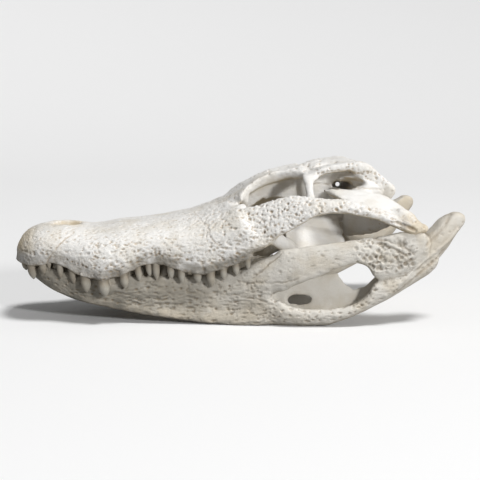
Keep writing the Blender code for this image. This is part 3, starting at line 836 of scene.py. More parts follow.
def weathered(
    name: str, colours: dict[str, Colour], grain_depth: float
) -> tuple[bpy.types.Material, bpy.types.Node, bpy.types.Node]:
    """A material whose shader is linked to the shared weathering, with its painted shade, and grain.

    Args:
        name: The material's name.
        colours: The weathering's colours by socket.
        grain_depth: How deep the grain is.

    Returns:
        The material, its shader and its node of weathering and painted shade.
    """
    made = bpy.data.materials.new(name)
    made.use_nodes = True
    tree = made.node_tree
    shader = tree.nodes["Principled BSDF"]
    place = tree.nodes.new("ShaderNodeTexCoord")
    weather_and_shade = tree.nodes.new("ShaderNodeGroup")
    weather_and_shade.node_tree = weathering_group()
    for socket, colour in colours.items():
        weather_and_shade.inputs[socket].default_value = (*colour, 1)
    grain = tree.nodes.new("ShaderNodeGroup")
    grain.node_tree = grain_group()
    bump = tree.nodes.new("ShaderNodeBump")
    bump.inputs["Distance"].default_value = grain_depth * MM
    for group in (weather_and_shade, grain):
        tree.links.new(place.outputs["Object"], group.inputs["Place"])
    tree.links.new(weather_and_shade.outputs["Colour"], shader.inputs["Base Color"])
    tree.links.new(grain.outputs["Height"], bump.inputs["Height"])
    tree.links.new(bump.outputs["Normal"], shader.inputs["Normal"])
    return made, shader, weather_and_shade


@dataclass(frozen=True)
class BoneFinish:
    """Dry bone: its ground, the brown of its pits and hollows, the tan of its stains and the grey of painted
    shade. The brown and the tan also paint shade.
    """

    name: str
    ground: Colour
    warm: Colour
    pit: Colour
    stain: Colour
    grime: Colour
    gloss: float = 0.35
    grain_depth: float = 0.3

    def material(self) -> bpy.types.Material:
        """Builds the finish.

        Returns:
            A material that reads the piece's cavity attribute, its stain attribute with painted shade, and
            its painted shade attribute.
        """
        colours = {
            "Ground": self.ground,
            "Warm": self.warm,
            "Pit": self.pit,
            "Stain": self.stain,
            "Grime": self.grime,
        }
        made, shader, weather_and_shade = weathered(self.name, colours, self.grain_depth)
        shader.inputs["Specular IOR Level"].default_value = self.gloss
        tree = made.node_tree
        for socket, name in (("Cavity", "cavity"), ("Stained", "stain"), ("Grimed", "grime")):
            reader = tree.nodes.new("ShaderNodeAttribute")
            reader.attribute_name = name
            tree.links.new(reader.outputs["Fac"], weather_and_shade.inputs[socket])
        tree.links.new(weather_and_shade.outputs["Roughness"], shader.inputs["Roughness"])
        return made


@dataclass(frozen=True)
class EnamelFinish:
    """Worn, slightly glossy tooth with a browner neck."""

    name: str
    crown: Colour
    neck: Colour
    roughness: float
    grain_depth: float = 0.12
    neck_start: float = 0.62
    neck_full: float = 0.4

    def material(self) -> bpy.types.Material:
        """Builds the finish.

        Returns:
            A material that reads the tooth's along attribute, 0 at the root and 1 at the tip.
        """
        colours = {"Ground": self.crown, "Warm": self.neck, "Pit": self.neck, "Stain": self.neck}
        made, shader, weather_and_shade = weathered(self.name, colours, self.grain_depth)
        shader.inputs["Roughness"].default_value = self.roughness
        tree = made.node_tree
        along = tree.nodes.new("ShaderNodeAttribute")
        along.attribute_name = "along"
        neck = tree.nodes.new("ShaderNodeMapRange")
        neck.inputs["From Min"].default_value = self.neck_start
        neck.inputs["From Max"].default_value = self.neck_full
        tree.links.new(along.outputs["Fac"], neck.inputs["Value"])
        tree.links.new(neck.outputs["Result"], weather_and_shade.inputs["Stained"])
        return made


def new_group(
    name: str, inputs: dict[str, str], outputs: dict[str, str]
) -> tuple[bpy.types.NodeTree, bpy.types.Node, bpy.types.Node]:
    """An empty shader node group with named sockets.

    Args:
        name: The group's name.
        inputs: Socket kinds by name.
        outputs: Socket kinds by name.

    Returns:
        The group, its input node and its output node.
    """
    group = bpy.data.node_groups.new(name, "ShaderNodeTree")
    for socket, kind in inputs.items():
        group.interface.new_socket(socket, in_out="INPUT", socket_type=kind)
    for socket, kind in outputs.items():
        group.interface.new_socket(socket, in_out="OUTPUT", socket_type=kind)
    return group, group.nodes.new("NodeGroupInput"), group.nodes.new("NodeGroupOutput")


def noise_node(
    group: bpy.types.NodeTree, source: bpy.types.NodeSocket, scale: float, detail: float
) -> bpy.types.Node:
    """Adds a noise texture.

    Args:
        group: The tree.
        source: The place at which it is read.
        scale: Its waves for each metre.
        detail: Its octaves.

    Returns:
        The node.
    """
    node = group.nodes.new("ShaderNodeTexNoise")
    node.inputs["Scale"].default_value = scale
    node.inputs["Detail"].default_value = detail
    group.links.new(source, node.inputs["Vector"])
    return node


def ramp_node(
    group: bpy.types.NodeTree, source: bpy.types.NodeSocket, low: float, high: float
) -> bpy.types.Node:
    """Adds a clamped ramp.

    Args:
        group: The tree.
        source: The value to look up.
        low: The value that gives 0.
        high: The value that gives 1.

    Returns:
        The node.
    """
    node = group.nodes.new("ShaderNodeMapRange")
    node.interpolation_type = "SMOOTHSTEP"
    node.inputs["From Min"].default_value = low
    node.inputs["From Max"].default_value = high
    group.links.new(source, node.inputs["Value"])
    return node


def maths_node(
    group: bpy.types.NodeTree, task: str, *sources: float | bpy.types.NodeSocket
) -> bpy.types.Node:
    """Adds a Math node.

    Args:
        group: The tree.
        task: The node's operation.
        sources: Its inputs, each a socket or a plain number.

    Returns:
        The node.
    """
    node = group.nodes.new("ShaderNodeMath")
    node.operation = task
    for socket, source in zip(node.inputs, sources):
        if isinstance(source, (int, float)):
            socket.default_value = source
        else:
            group.links.new(source, socket)
    return node


def blend_node(
    group: bpy.types.NodeTree,
    factor: bpy.types.NodeSocket,
    first: bpy.types.NodeSocket,
    second: bpy.types.NodeSocket,
) -> bpy.types.NodeSocket:
    """Adds a colour mix.

    Args:
        group: The tree.
        factor: The second colour's share.
        first: The first colour.
        second: The second colour.

    Returns:
        The mixed colour.
    """
    node = group.nodes.new("ShaderNodeMix")
    node.data_type = "RGBA"
    group.links.new(factor, node.inputs[0])
    group.links.new(first, node.inputs[6])
    group.links.new(second, node.inputs[7])
    return node.outputs[2]


def weathering_group() -> bpy.types.NodeTree:
    """The colours of weathered bone with its painted shade, shared by every finish.

    Returns:
        A group that mottles the ground, browns the pits and hollows, and lays on the stains and the painted
        shade.
    """
    name = "weathering"
    if name in bpy.data.node_groups:
        return bpy.data.node_groups[name]
    colour, number, vector = "NodeSocketColor", "NodeSocketFloat", "NodeSocketVector"
    group, start, end = new_group(
        name,
        {"Place": vector, "Ground": colour, "Warm": colour, "Pit": colour, "Stain": colour,
         "Grime": colour, "Cavity": number, "Stained": number, "Grimed": number},
        {"Colour": colour, "Roughness": number},
    )
    given = start.outputs
    mottle = ramp_node(group, noise_node(group, given["Place"], 42, 5).outputs[0], 0.42, 0.68)
    speckle = noise_node(group, given["Place"], 420, 4)
    fleck = ramp_node(group, speckle.outputs[0], 0.56, 0.72)
    ground = blend_node(group, mottle.outputs[0], given["Ground"], given["Warm"])
    flecked = maths_node(group, "MULTIPLY", fleck.outputs[0], 0.35)
    ground = blend_node(group, flecked.outputs[0], ground, given["Warm"])
    # Stains, which also carry painted shade.
    patchy = ramp_node(group, noise_node(group, given["Place"], 95, 6).outputs[0], 0.22, 0.54)
    stained_and_shaded = maths_node(group, "MULTIPLY", given["Stained"], patchy.outputs[0])
    ground = blend_node(group, stained_and_shaded.outputs[0], ground, given["Stain"])
    # Painted shade: grey laid on in smudges.
    smudge = ramp_node(group, noise_node(group, given["Place"], 55, 6).outputs[0], 0.2, 0.6)
    shaded = maths_node(group, "MULTIPLY", given["Grimed"], smudge.outputs[0])
    ground = blend_node(group, shaded.outputs[0], ground, given["Grime"])
    # Pits and hollows browned: the pits' own brown, and dirt and painted shade in the hollows.
    uneven = ramp_node(group, noise_node(group, given["Place"], 130, 3).outputs[0], 0.25, 0.7)
    share = maths_node(group, "MULTIPLY_ADD", uneven.outputs[0], 0.8, 0.2)
    pitted = maths_node(group, "MULTIPLY", given["Cavity"], share.outputs[0])
    ground = blend_node(group, pitted.outputs[0], ground, given["Pit"])
    rough = maths_node(group, "MULTIPLY_ADD", speckle.outputs[0], 0.25, 0.5)
    group.links.new(ground, end.inputs["Colour"])
    group.links.new(rough.outputs[0], end.inputs["Roughness"])
    return group


def grain_group() -> bpy.types.NodeTree:
    """The fine relief of bone: pores and short fibres along the skull.

    Returns:
        A group that puts out a height.
    """
    name = "bone grain"
    if name in bpy.data.node_groups:
        return bpy.data.node_groups[name]
    group, start, end = new_group(name, {"Place": "NodeSocketVector"}, {"Height": "NodeSocketFloat"})
    stretch = group.nodes.new("ShaderNodeMapping")
    stretch.inputs["Scale"].default_value = (0.35, 1, 1)
    group.links.new(start.outputs["Place"], stretch.inputs["Vector"])
    fibre = noise_node(group, stretch.outputs[0], 900, 3)
    pores = noise_node(group, start.outputs["Place"], 1500, 2)
    pore = ramp_node(group, pores.outputs[0], 0.62, 0.5)
    height = maths_node(group, "MULTIPLY_ADD", pore.outputs[0], 0.5, fibre.outputs[0])
    group.links.new(height.outputs[0], end.inputs["Height"])
    return group


# The last, grey colour of each finish is painted shade; the stain colour and the pit colour in the hollows
# carry painted shade too.
UPPER_FINISH = BoneFinish(
    "cream bone", (0.86, 0.845, 0.815), (0.79, 0.755, 0.69), (0.42, 0.32, 0.205), (0.66, 0.565, 0.415),
    (0.25, 0.228, 0.19)
)
LOWER_FINISH = BoneFinish(
    "tan bone", (0.71, 0.68, 0.62), (0.61, 0.56, 0.475), (0.27, 0.21, 0.14), (0.58, 0.505, 0.385),
    (0.27, 0.25, 0.21)
)
# The crowns' grey-brown is partly the enamel's own colour and partly painted shade.
ENAMEL_FINISH = EnamelFinish("worn enamel", (0.43, 0.405, 0.35), (0.31, 0.27, 0.21), 0.36)


@dataclass
class Pitting:
    """A field of pits on some bones: where, how wide, how deep and how many."""

    bones: tuple[str, ...]
    size: Triple
    radius: float
    depth: float
    salt: int
    share: float = 1.0
    colour: float = 1.0
    where: Callable[[Floats, Floats], Floats] | None = None
    bend: float = 2.0
    bend_size: float = 5.0
    rim: float = 0.22


def outward(skin: Skin) -> Floats:
    """Finds the outer faces.

    Args:
        skin: The skin.

    Returns:
        How far each point's normal faces away from the skull's middle, or up.
    """
    side = np.sign(skin.points[:, 1])
    return skin.normals[:, 1] * side * 0.9 + skin.normals[:, 2] * 0.75


def carve_pits(skin: Skin, pitting: Pitting) -> None:
    """Sinks a field of pits into a skin, with a low rim between them, and browns their floors.

    Args:
        skin: The skin to carve.
        pitting: The field of pits.
    """
    mask = skin.on(*pitting.bones) * smooth_step(0.1, 0.45, outward(skin))
    if pitting.where:
        mask = mask * pitting.where(skin.points, skin.normals)
    chosen = np.flatnonzero(mask > FAINT)
    points = skin.points[chosen]
    bent = points + pitting.bend * drift(points, pitting.bend_size, pitting.salt, PIT_FIELDS, 2)
    first, second, key = cells(bent, pitting.size, pitting.salt)
    reach = pitting.radius * (0.6 + 0.8 * key)
    pit = smooth_step(1.0, 0.35, first / reach) * (second_number(key) < pitting.share)
    rim = smooth_step(0.4, 0.05, second - first)
    skin.lift[chosen] -= pitting.depth * mask[chosen] * (pit * (0.7 + 0.6 * key) - pitting.rim * rim)
    skin.cavity[chosen] = np.maximum(skin.cavity[chosen], pit**2 * mask[chosen] * pitting.colour)


def second_number(key: Floats) -> Floats:
    """Turns each cell's random number into a second one, for choosing some of the cells.

    Args:
        key: The cells' random numbers.

    Returns:
        The second numbers, from 0 to 1.
    """
    return (key * KEY_STRETCH) % 1.0


@dataclass
class Line:
    """A line engraved on one side of the skull, seen from that side: its corners and its look."""

    corners: Outline
    width: float
    depth: float
    colour: float
    bones: tuple[str, ...]
    wiggle: float
    salt: int
    wiggle_size: float = 4.5


def engrave(skin: Skin, line: Line) -> None:
    """Cuts a wavering line into the outer faces of both sides.

    Args:
        skin: The skin to cut.
        line: The line, in station and height.
    """
    mask = smooth_step(0.0, 0.3, outward(skin))
    if line.bones:
        mask = mask * skin.on(*line.bones)
    chosen = np.flatnonzero(mask > FAINT)
    points = skin.points[chosen]
    waver = drift(points, line.wiggle_size, line.salt, LINE_FIELDS, 2) * line.wiggle
    gap = line_distance(points[:, [0, 2]] + waver, line.corners)
    cut = np.exp(-((gap / line.width) ** 2)) * mask[chosen]
    skin.lift[chosen] -= line.depth * cut
    skin.cavity[chosen] = np.maximum(skin.cavity[chosen], line.colour * cut)


@dataclass
class Foramina:
    """A row of small holes for vessels along a jaw: stations and heights of the row."""

    row: Outline
    count: int
    radius: float
    depth: float
    jitter: float
    salt: int
    bones: tuple[str, ...]
    flattening: float = 0.7


def drill(skin: Skin, holes: Foramina) -> None:
    """Sinks a row of small round holes into the outer faces of both sides.

    Args:
        skin: The skin to drill.
        holes: The row.
    """
    generator = np.random.default_rng(holes.salt)
    row = np.asarray(holes.row, float)
    reach = np.concatenate([[0], np.cumsum(np.linalg.norm(np.diff(row, axis=0), axis=1))])
    mask = skin.on(*holes.bones) * smooth_step(0.1, 0.4, outward(skin))
    for side in Side:
        marks = (np.arange(holes.count) + generator.uniform(0.1, 0.9, holes.count)) / holes.count * reach[-1]
        for mark in marks:
            centre = np.array([np.interp(mark, reach, row[:, axis]) for axis in range(2)])
            centre += generator.uniform(-holes.jitter, holes.jitter, 2)
            radius = holes.radius * generator.uniform(0.7, 1.3)
            flat = skin.points[:, [0, 2]] - centre
            near = (np.abs(flat) < 4 * radius).all(axis=1) & (skin.points[:, 1] * side.value > 0)
            near = np.flatnonzero(near & (mask > 0.1))
            gap = np.linalg.norm(flat[near] * np.array([holes.flattening, 1.0]), axis=1) / radius
            sunk = smooth_step(1.25, 0.4, gap) * mask[near]
            skin.lift[near] -= holes.depth * sunk
            skin.cavity[near] = np.maximum(skin.cavity[near], sunk)


@dataclass
class Crests:
    """A field of fine crests: its bones, the crests' spacing along each axis and their height."""

    bones: tuple[str, ...]
    size: Triple
    height: float
    salt: int
    bend: float = 2.0
    bend_size: float = 9.0


def wrinkle(skin: Skin, crests: Crests) -> None:
    """Raises a field of fine crests on the outer faces of some bones.

    Args:
        skin: The skin to work on.
        crests: The field of crests.
    """
    mask = skin.on(*crests.bones) * smooth_step(-0.1, 0.4, outward(skin))
    chosen = np.flatnonzero(mask > FAINT)
    points = skin.points[chosen]
    bent = points + crests.bend * drift(points, crests.bend_size, crests.salt, CREST_FIELDS, 1)
    crest = 1 - 2 * np.abs(rumple(bent, crests.size, crests.salt, 2))
    skin.lift[chosen] += crests.height * mask[chosen] * crest


def darken_hollows(skin: Skin, rounds: int = 8, least: float = 0.06, full: float = 0.5) -> None:
    """Darkens every small hollow of the relief, partly as settled dirt and partly as painted shade.

    Args:
        skin: The sculpted skin, before it settles.
        rounds: How broad the level is that the hollows are measured from.
        least: The depth at which the darkening starts to show.
        full: How much deeper the darkest hollows are.
    """
    broad = skin.lift
    for _ in range(rounds):
        broad = skin.neighbour_mean(broad)
    hollow = np.clip((broad - skin.lift - least) / full, 0, 1)
    # The hollows' darkening: partly dirt, partly painted shade.
    skin.cavity = np.clip(np.maximum(skin.cavity, DIRT_AND_SHADE * hollow), 0, 1)


def mark_sutures(skin: Skin, strengths: dict[tuple[str, str], float], usual: float) -> None:
    """Cuts a fine line where two bones meet.

    Args:
        skin: The skin to cut.
        strengths: How strong the line is for pairs of bones, by the starts of their names.
        usual: How strong it is for any other pair.
    """
    owner = skin.bone_of_point
    first, second = skin.edges[:, 0], skin.edges[:, 1]
    crossing = np.flatnonzero(owner[first] != owner[second])
    value = np.zeros(len(skin.points))
    for number in crossing:
        pair = {skin.bones[owner[first[number]]], skin.bones[owner[second[number]]]}
        strength = usual
        for (one, other), stated in strengths.items():
            if any(a.startswith(one) and b.startswith(other) for a in pair for b in pair if a != b):
                strength = stated
        value[first[number]] = max(value[first[number]], strength)
        value[second[number]] = max(value[second[number]], strength)
    patchy = smooth_step(-0.45, 0.25, rumple(skin.points, 14.0, 91, 2))
    value = value * (0.35 + 0.65 * patchy)
    skin.lift -= SUTURE_DEPTH * skin.feathered(value, 1)
    skin.cavity = np.maximum(skin.cavity, DIRT_AND_SHADE * value)


@dataclass(frozen=True)
class ToothRow:
    """A jaw's teeth and the line that they stand on, as (station, spread, height) on one side."""

    teeth: tuple[Tooth, ...]
    line: tuple[Triple, ...]
    down: bool
    drop: float = 0.0
    web_rise: float = 2.7
    web_spare: Triple = (1.0, 3.9, 3.8)
    collar_rise: float = 1.7
    collar_spare: Triple = (1.5, 1.9, 3.3)
    tuck_reach: float = 9.0
    tuck_depth: float = 24.0
    tuck_share: float = 0.78

    def at(self, station: Floats | float) -> tuple[Floats, Floats]:
        """Where the row runs.

        Args:
            station: One station or many.

        Returns:
            Its spread and height there.
        """
        line = np.asarray(self.line)
        spread, height = (np.interp(station, line[:, 0], line[:, column]) for column in (1, 2))
        return spread, height - self.drop

    def webs(self, bone: Callable[[float], str]) -> list[Lump]:
        """Swellings of the bone between neighbouring teeth.

        Args:
            bone: Gives the bone's name at a station.

        Returns:
            One lump for each gap.
        """
        found = []
        for before, after in zip(self.teeth, self.teeth[1:]):
            middle = (before.station + after.station) / 2
            spread, height = self.at(middle)
            along, across, tall = self.web_spare
            radii = ((after.station - before.station) / 2 + along, across, tall)
            found.append(Lump((middle, float(spread), float(height) + self.web_rise), radii, bone(middle)))
        return found

    def collars(self, bone: Callable[[float], str]) -> list[Lump]:
        """Swellings of the bone around each tooth.

        Args:
            bone: Gives the bone's name at a station.

        Returns:
            One lump for each tooth.
        """
        found = []
        for tooth in self.teeth:
            spread, height = self.at(tooth.station)
            half = tooth.width / 2
            along, across, tall = self.collar_spare
            rise = self.collar_rise if self.down else -self.collar_rise
            place = (tooth.station, float(spread), float(height) + rise)
            found.append(Lump(place, (half + along, half + across, tall), bone(tooth.station)))
        return found

    def tucked(self, points: Floats) -> Floats:
        """Draws the nodes' teeth in towards their roots, so that the finer crowns cover them.

        Args:
            points: The points of a rough skin.

        Returns:
            The moved points.
        """
        spread, height = self.at(points[:, 0])
        past = (height - points[:, 2]) * (1 if self.down else -1)
        near = np.abs(np.abs(points[:, 1]) - spread) < self.tuck_reach
        near &= (points[:, 0] < self.teeth[-1].station + 8) & (past < self.tuck_depth)
        share = smooth_step(0.8, 3.0, past) * near * self.tuck_share
        stations = np.array([tooth.station for tooth in self.teeth])
        nearest = stations[np.abs(points[:, :1] - stations).argmin(axis=1)]
        goal = np.stack([nearest, np.sign(points[:, 1]) * spread, height], axis=1)
        return points + (goal - points) * share[:, None]


UPPER_ROW = ToothRow(
    tuple(Tooth(*pair) for pair in (
        (3.0, 4.4), (7.0, 5.2), (14.2, 7.8), (25.3, 6.8), (30.9, 3.6), (41.1, 5.2), (52.7, 6.0), (64.7, 9.0),
        (81.0, 10.4), (100.1, 7.6), (113.2, 5.6), (123.1, 5.0), (130.5, 6.2), (143.9, 6.0), (154.1, 6.0),
        (168.4, 6.8), (180.9, 7.8), (192.8, 6.2), (203.8, 6.0), (214.8, 5.4),
    )),
    (
        (0, 4, 63), (4, 14, 61), (10, 22.5, 60.5), (18, 29.5, 60), (34, 36, 64), (44, 37, 61), (60, 43, 52.5),
        (77, 50, 48.5), (86, 52.3, 49), (104, 52, 55), (119, 51.2, 62), (130, 52.2, 64), (143, 54.8, 60.5),
        (164, 58.8, 54), (175, 61, 53), (186, 63.4, 57), (206, 67.6, 64), (217, 70.2, 69), (236, 76, 74),
    ),
    True,
    drop=3.8,
)
LOWER_ROW = ToothRow(
    tuple(Tooth(*pair) for pair in (
        (13, 5.0), (18, 4.6), (26, 5.0), (38, 7.5), (50, 5.0), (60, 4.6), (70, 4.6), (79, 4.8), (88, 5.0),
        (97, 5.4), (106, 5.6), (116, 6.2), (127, 6.6), (138, 5.6), (148, 5.2), (158, 5.0), (168, 5.0),
        (178, 5.0), (189, 4.6), (200, 4.4),
    )),
    (
        (9, 3, 53), (16, 13, 56), (30, 24.5, 53), (45, 30, 50), (60, 34.5, 47), (84, 41.5, 45.5),
        (107, 43, 46), (139, 45.5, 44.5), (158, 47.5, 45), (186, 54, 47), (206, 60.5, 50), (218, 65, 57),
    ),
    False,
)
PREMAXILLA_REAR = 33.5


@dataclass
class Cranium(BoneGroup):
    """The upper skull: every bone above the mouth."""

    middle: tuple[str, ...] = ("nasals", "frontal", "skull_table", "braincase", "palatines", "pterygoids")
    paired: tuple[str, ...] = (
        "premaxilla", "maxilla", "jugal", "quadratojugal", "quadrate", "postorbital_bar", "ectopterygoid",
    )

    def names(self) -> list[str]:
        """The nodes of the upper skull."""
        return list(self.middle) + [f"{name}_{side.word}" for name in self.paired for side in Side]

    def lumps(self) -> list[Lump]:
        """Rounded forms of the upper skull.

        Returns:
            The knobs of the jaw joint, the eye's rim and the skull table, and the collars and webs of
            the teeth.
        """
        knobs = [
            Lump((371, 94.0, 93.5), (6.5, 4.3, 5.0), "quadratojugal", pitch=25),
            Lump((364, 95.5, 95.5), (12, 4.8, 7.5), "quadratojugal", pitch=25),
            Lump((361, 89.0, 102.0), (13, 8.0, 7.5), "quadrate_", pitch=32),
            Lump((377, 88.0, 92.0), (6.0, 7.0, 5.0), "quadrate"),
            Lump((280, 43.0, 136.0), (8.5, 3.6, 3.2), "postorbital_bar"),
            Lump((206, 34.0, 104.5), (10, 10.0, 6.0), "maxilla"),
            Lump((213, 45.0, 101.0), (12, 13.0, 7.0), "maxilla"),
            Lump((212, 46.0, 109.0), (6.5, 6.0, 4.5), "maxilla"),
            Lump((326, 39.0, 149.6), (9, 7.0, 2.4), "skull_table"),
            Lump((326, -39.0, 149.6), (9, 7.0, 2.4), "skull_table"),
        ]

        def bone(station: float) -> str:
            """The bone that carries the tooth at a station."""
            return "premaxilla" if station < PREMAXILLA_REAR else "maxilla"

        return knobs + UPPER_ROW.collars(bone) + UPPER_ROW.webs(bone)

    def cuts(self) -> list[Tunnel | Window]:
        """The passage behind the left ear opening, right through the skull."""
        return [Tunnel((303.5, -52, 131.4), (341.5, 100, 116.5), 3.5, ("braincase", "quadrate_right"))]

    def shape(self, rough: Skin) -> None:
        """Tucks the upper teeth in, and blends the cheek into the snout.

        Args:
            rough: The upper skull's rough skin, which is changed.
        """
        rough.points = UPPER_ROW.tucked(rough.points)
        rough.blend((218, 0, 93), (0.8, 0, 0.6), 5.5, 14)
        rough.blend((236, 0, 74), (0.8, 0, 0.6), 5.0, 8)

    def pits(self) -> list[Pitting]:
        """The pits of each region.

        Returns:
            The fields of pits, each on its own bones.
        """

        def low(points: Floats, _: Floats) -> Floats:
            """The lower part of the snout's side, where pits crowd."""
            return band(points[:, 0], 60, 150, 16) * smooth_step(92, 76, points[:, 2])

        def cheek(points: Floats, _: Floats) -> Floats:
            """The snout's side in front of the eye."""
            return band(points[:, 0], 172, 250, 14) * smooth_step(114, 96, points[:, 2])

        def knob(points: Floats, _: Floats) -> Floats:
            """The rough end above the jaw joint."""
            return band(points[:, 0], 338, 366, 4) * smooth_step(114, 106, points[:, 2])

        def top(_: Floats, normals: Floats) -> Floats:
            """Faces that look up."""
            return smooth_step(0.2, 0.5, normals[:, 2])

        return [
            Pitting(("jugal",), (4.0, 4.0, 3.6), 0.40, 1.1, 101),
            Pitting(("jugal",), (2.6, 2.4, 2.2), 0.40, 0.45, 121, 0.6, 0.7),
            Pitting(("quadratojugal", "quadrate_"), (4.4, 3.4, 3.0), 0.44, 0.75, 461, 0.85, 0.8, knob),
            Pitting(("jugal", "maxilla"), (6.5, 3.0, 2.7), 0.42, 0.95, 141, 0.85, 0.8, cheek),
            Pitting(("maxilla",), (4.6, 3.0, 2.7), 0.44, 0.9, 181, 0.8, 0.9, low),
            Pitting(("maxilla", "nasals"), (6.5, 3.4, 3.0), 0.38, 0.5, 221, 0.55, 0.5),
            Pitting(("premaxilla",), (3.6, 3.0, 2.8), 0.42, 0.55, 261, 0.6, 0.6),
            Pitting(("frontal",), (4.2, 4.2, 3.6), 0.44, 0.7, 301, 0.8, 0.7, top),
            Pitting(("skull_table",), (3.8, 3.8, 3.8), 0.44, 0.8, 341, 0.85, 0.7),
            Pitting(("quadratojugal",), (4.4, 3.2, 2.8), 0.45, 0.8, 381, 0.8, 0.8),
            Pitting(("maxilla", "premaxilla", "jugal"), (2.4, 2.0, 1.9), 0.42, 0.35, 421, 0.5, 0.6),
        ]

    def lines(self) -> list[Line]:
        """What is engraved on the outer faces.

        Returns:
            Sutures, cracks and grooves.
        """
        snout, maxilla, ear = ("premaxilla", "maxilla"), ("maxilla",), ("quadrate", "braincase")
        return [
            Line(((29, 59), (34, 67), (40, 75), (48, 82), (55, 87)), 0.6, 0.6, 1.0, snout, 1.0, 5),
            Line(((170, 103), (179, 94), (180, 87), (185, 80), (191, 75)), 0.5, 0.5, 0.8, maxilla, 1.6, 6),
            Line(((191, 75), (200, 74), (214, 73), (228, 76)), 0.6, 0.35, 0.4, ("maxilla", "jugal"), 1.2, 7),
            Line(((350, 99), (359, 95.5), (367, 92)), 1.2, 1.8, 1.0, ("quadratojugal", "quadrate"), 0.4, 8),
            Line(((290, 128), (330, 127), (346, 125.5), (356, 131)), 0.6, 0.5, 0.7, ear, 1.2, 9),
            Line(((300, 108), (322, 113), (342, 106)), 0.6, 0.35, 0.5, ("jugal", "quadratojugal"), 2.0, 10),
            Line(((344, 112), (356, 103), (364, 100)), 0.8, 0.6, 0.7, ("quadratojugal",), 1.6, 11),
        ]

    def holes(self) -> list[Foramina]:
        """The vessel holes.

        Returns:
            Their rows, along the tooth margin, the snout's side and the skull table's edge.
        """
        margin = (
            (44, 66), (60, 59), (77, 55), (100, 60), (122, 68), (143, 67), (164, 61), (180, 60), (212, 71),
        )
        edge = ((286, 141), (300, 143), (316, 143), (329, 140), (338, 134))
        return [
            Foramina(margin, 30, 0.95, 1.3, 1.4, 5, ("maxilla",)),
            Foramina(((8, 69), (20, 68), (31, 69)), 7, 0.9, 1.2, 1.5, 6, ("premaxilla",)),
            Foramina(((60, 76), (100, 78), (150, 80)), 10, 0.9, 1.1, 5.0, 7, ("maxilla",)),
            Foramina(edge, 20, 0.9, 1.0, 0.7, 8, ("skull_table",)),
        ]

    def sculpt(self, skin: Skin) -> None:
        """Gives the upper skull its pits, sutures, rims and stains, with painted shade underneath, on inner
        faces and along the tooth margin.

        Args:
            skin: The upper skull's skin.
        """
        skin.lift += SWELLING * rumple(skin.points, SWELLING_SIZE, 3, 2)
        skin.settle()
        for pitting in self.pits():
            carve_pits(skin, pitting)
        for crests in (
            Crests(("maxilla", "premaxilla", "jugal", "quadratojugal"), (6.0, 2.8, 2.4), 0.42, 31),
            Crests(("frontal", "skull_table", "nasals"), (5.0, 4.0, 3.0), 0.3, 35),
            Crests(("braincase", "quadrate_", "pterygoids", "palatines"), (16.0, 7.0, 6.0), 0.25, 37),
        ):
            wrinkle(skin, crests)
        for line in self.lines():
            engrave(skin, line)
        for holes in self.holes():
            drill(skin, holes)
        mark_sutures(
            skin,
            {("premaxilla", "maxilla"): 0.15, ("maxilla", "jugal"): 0.0, ("frontal", "skull_table"): 0.3,
             ("skull_table", "quadrate"): 0.7, ("jugal", "quadratojugal"): 0.35, ("nasals", "maxilla"): 0.35,
             ("jugal", "postorbital_bar"): 0.0, ("frontal", "postorbital_bar"): 0.1,
             ("skull_table", "postorbital_bar"): 0.1, ("quadratojugal", "quadrate"): 0.5},
            0.25,
        )
        darken_hollows(skin)
        skin.settle()
        station, spread, height = skin.points.T
        spread = np.abs(spread)
        nose = smooth_step(26, 2, station) * smooth_step(60, 74, height)
        naris = band(station, 34, 60, 8) * smooth_step(26, 12, spread) * smooth_step(78, 88, height)
        # Painted shade in the stain: faces that look down are darkened; inward faces get a darker tan, partly
        # dust and partly painted shade. The other terms tint the nose, the naris and the end above the jaw
        # joint.
        under = smooth_step(-0.1, -0.6, skin.normals[:, 2])
        inner = smooth_step(0.15, -0.35, outward(skin))
        end = smooth_step(344, 366, station) * smooth_step(113, 103, height) * smooth_step(78, 86, spread)
        skin.stain = np.clip(nose + 0.8 * naris + 0.4 * under + 0.75 * inner + 0.8 * end, 0, 1)
        # Painted shade: a grey band along the lower edge of the upper jaw, where the overhang lies in shade.
        edge = UPPER_ROW.at(station)[1]
        skin.grime = smooth_step(edge + 12, edge + 5, height) * skin.on("maxilla", "premaxilla")
        skin.grime *= 0.5 + 0.35 * smooth_step(50, 90, station)


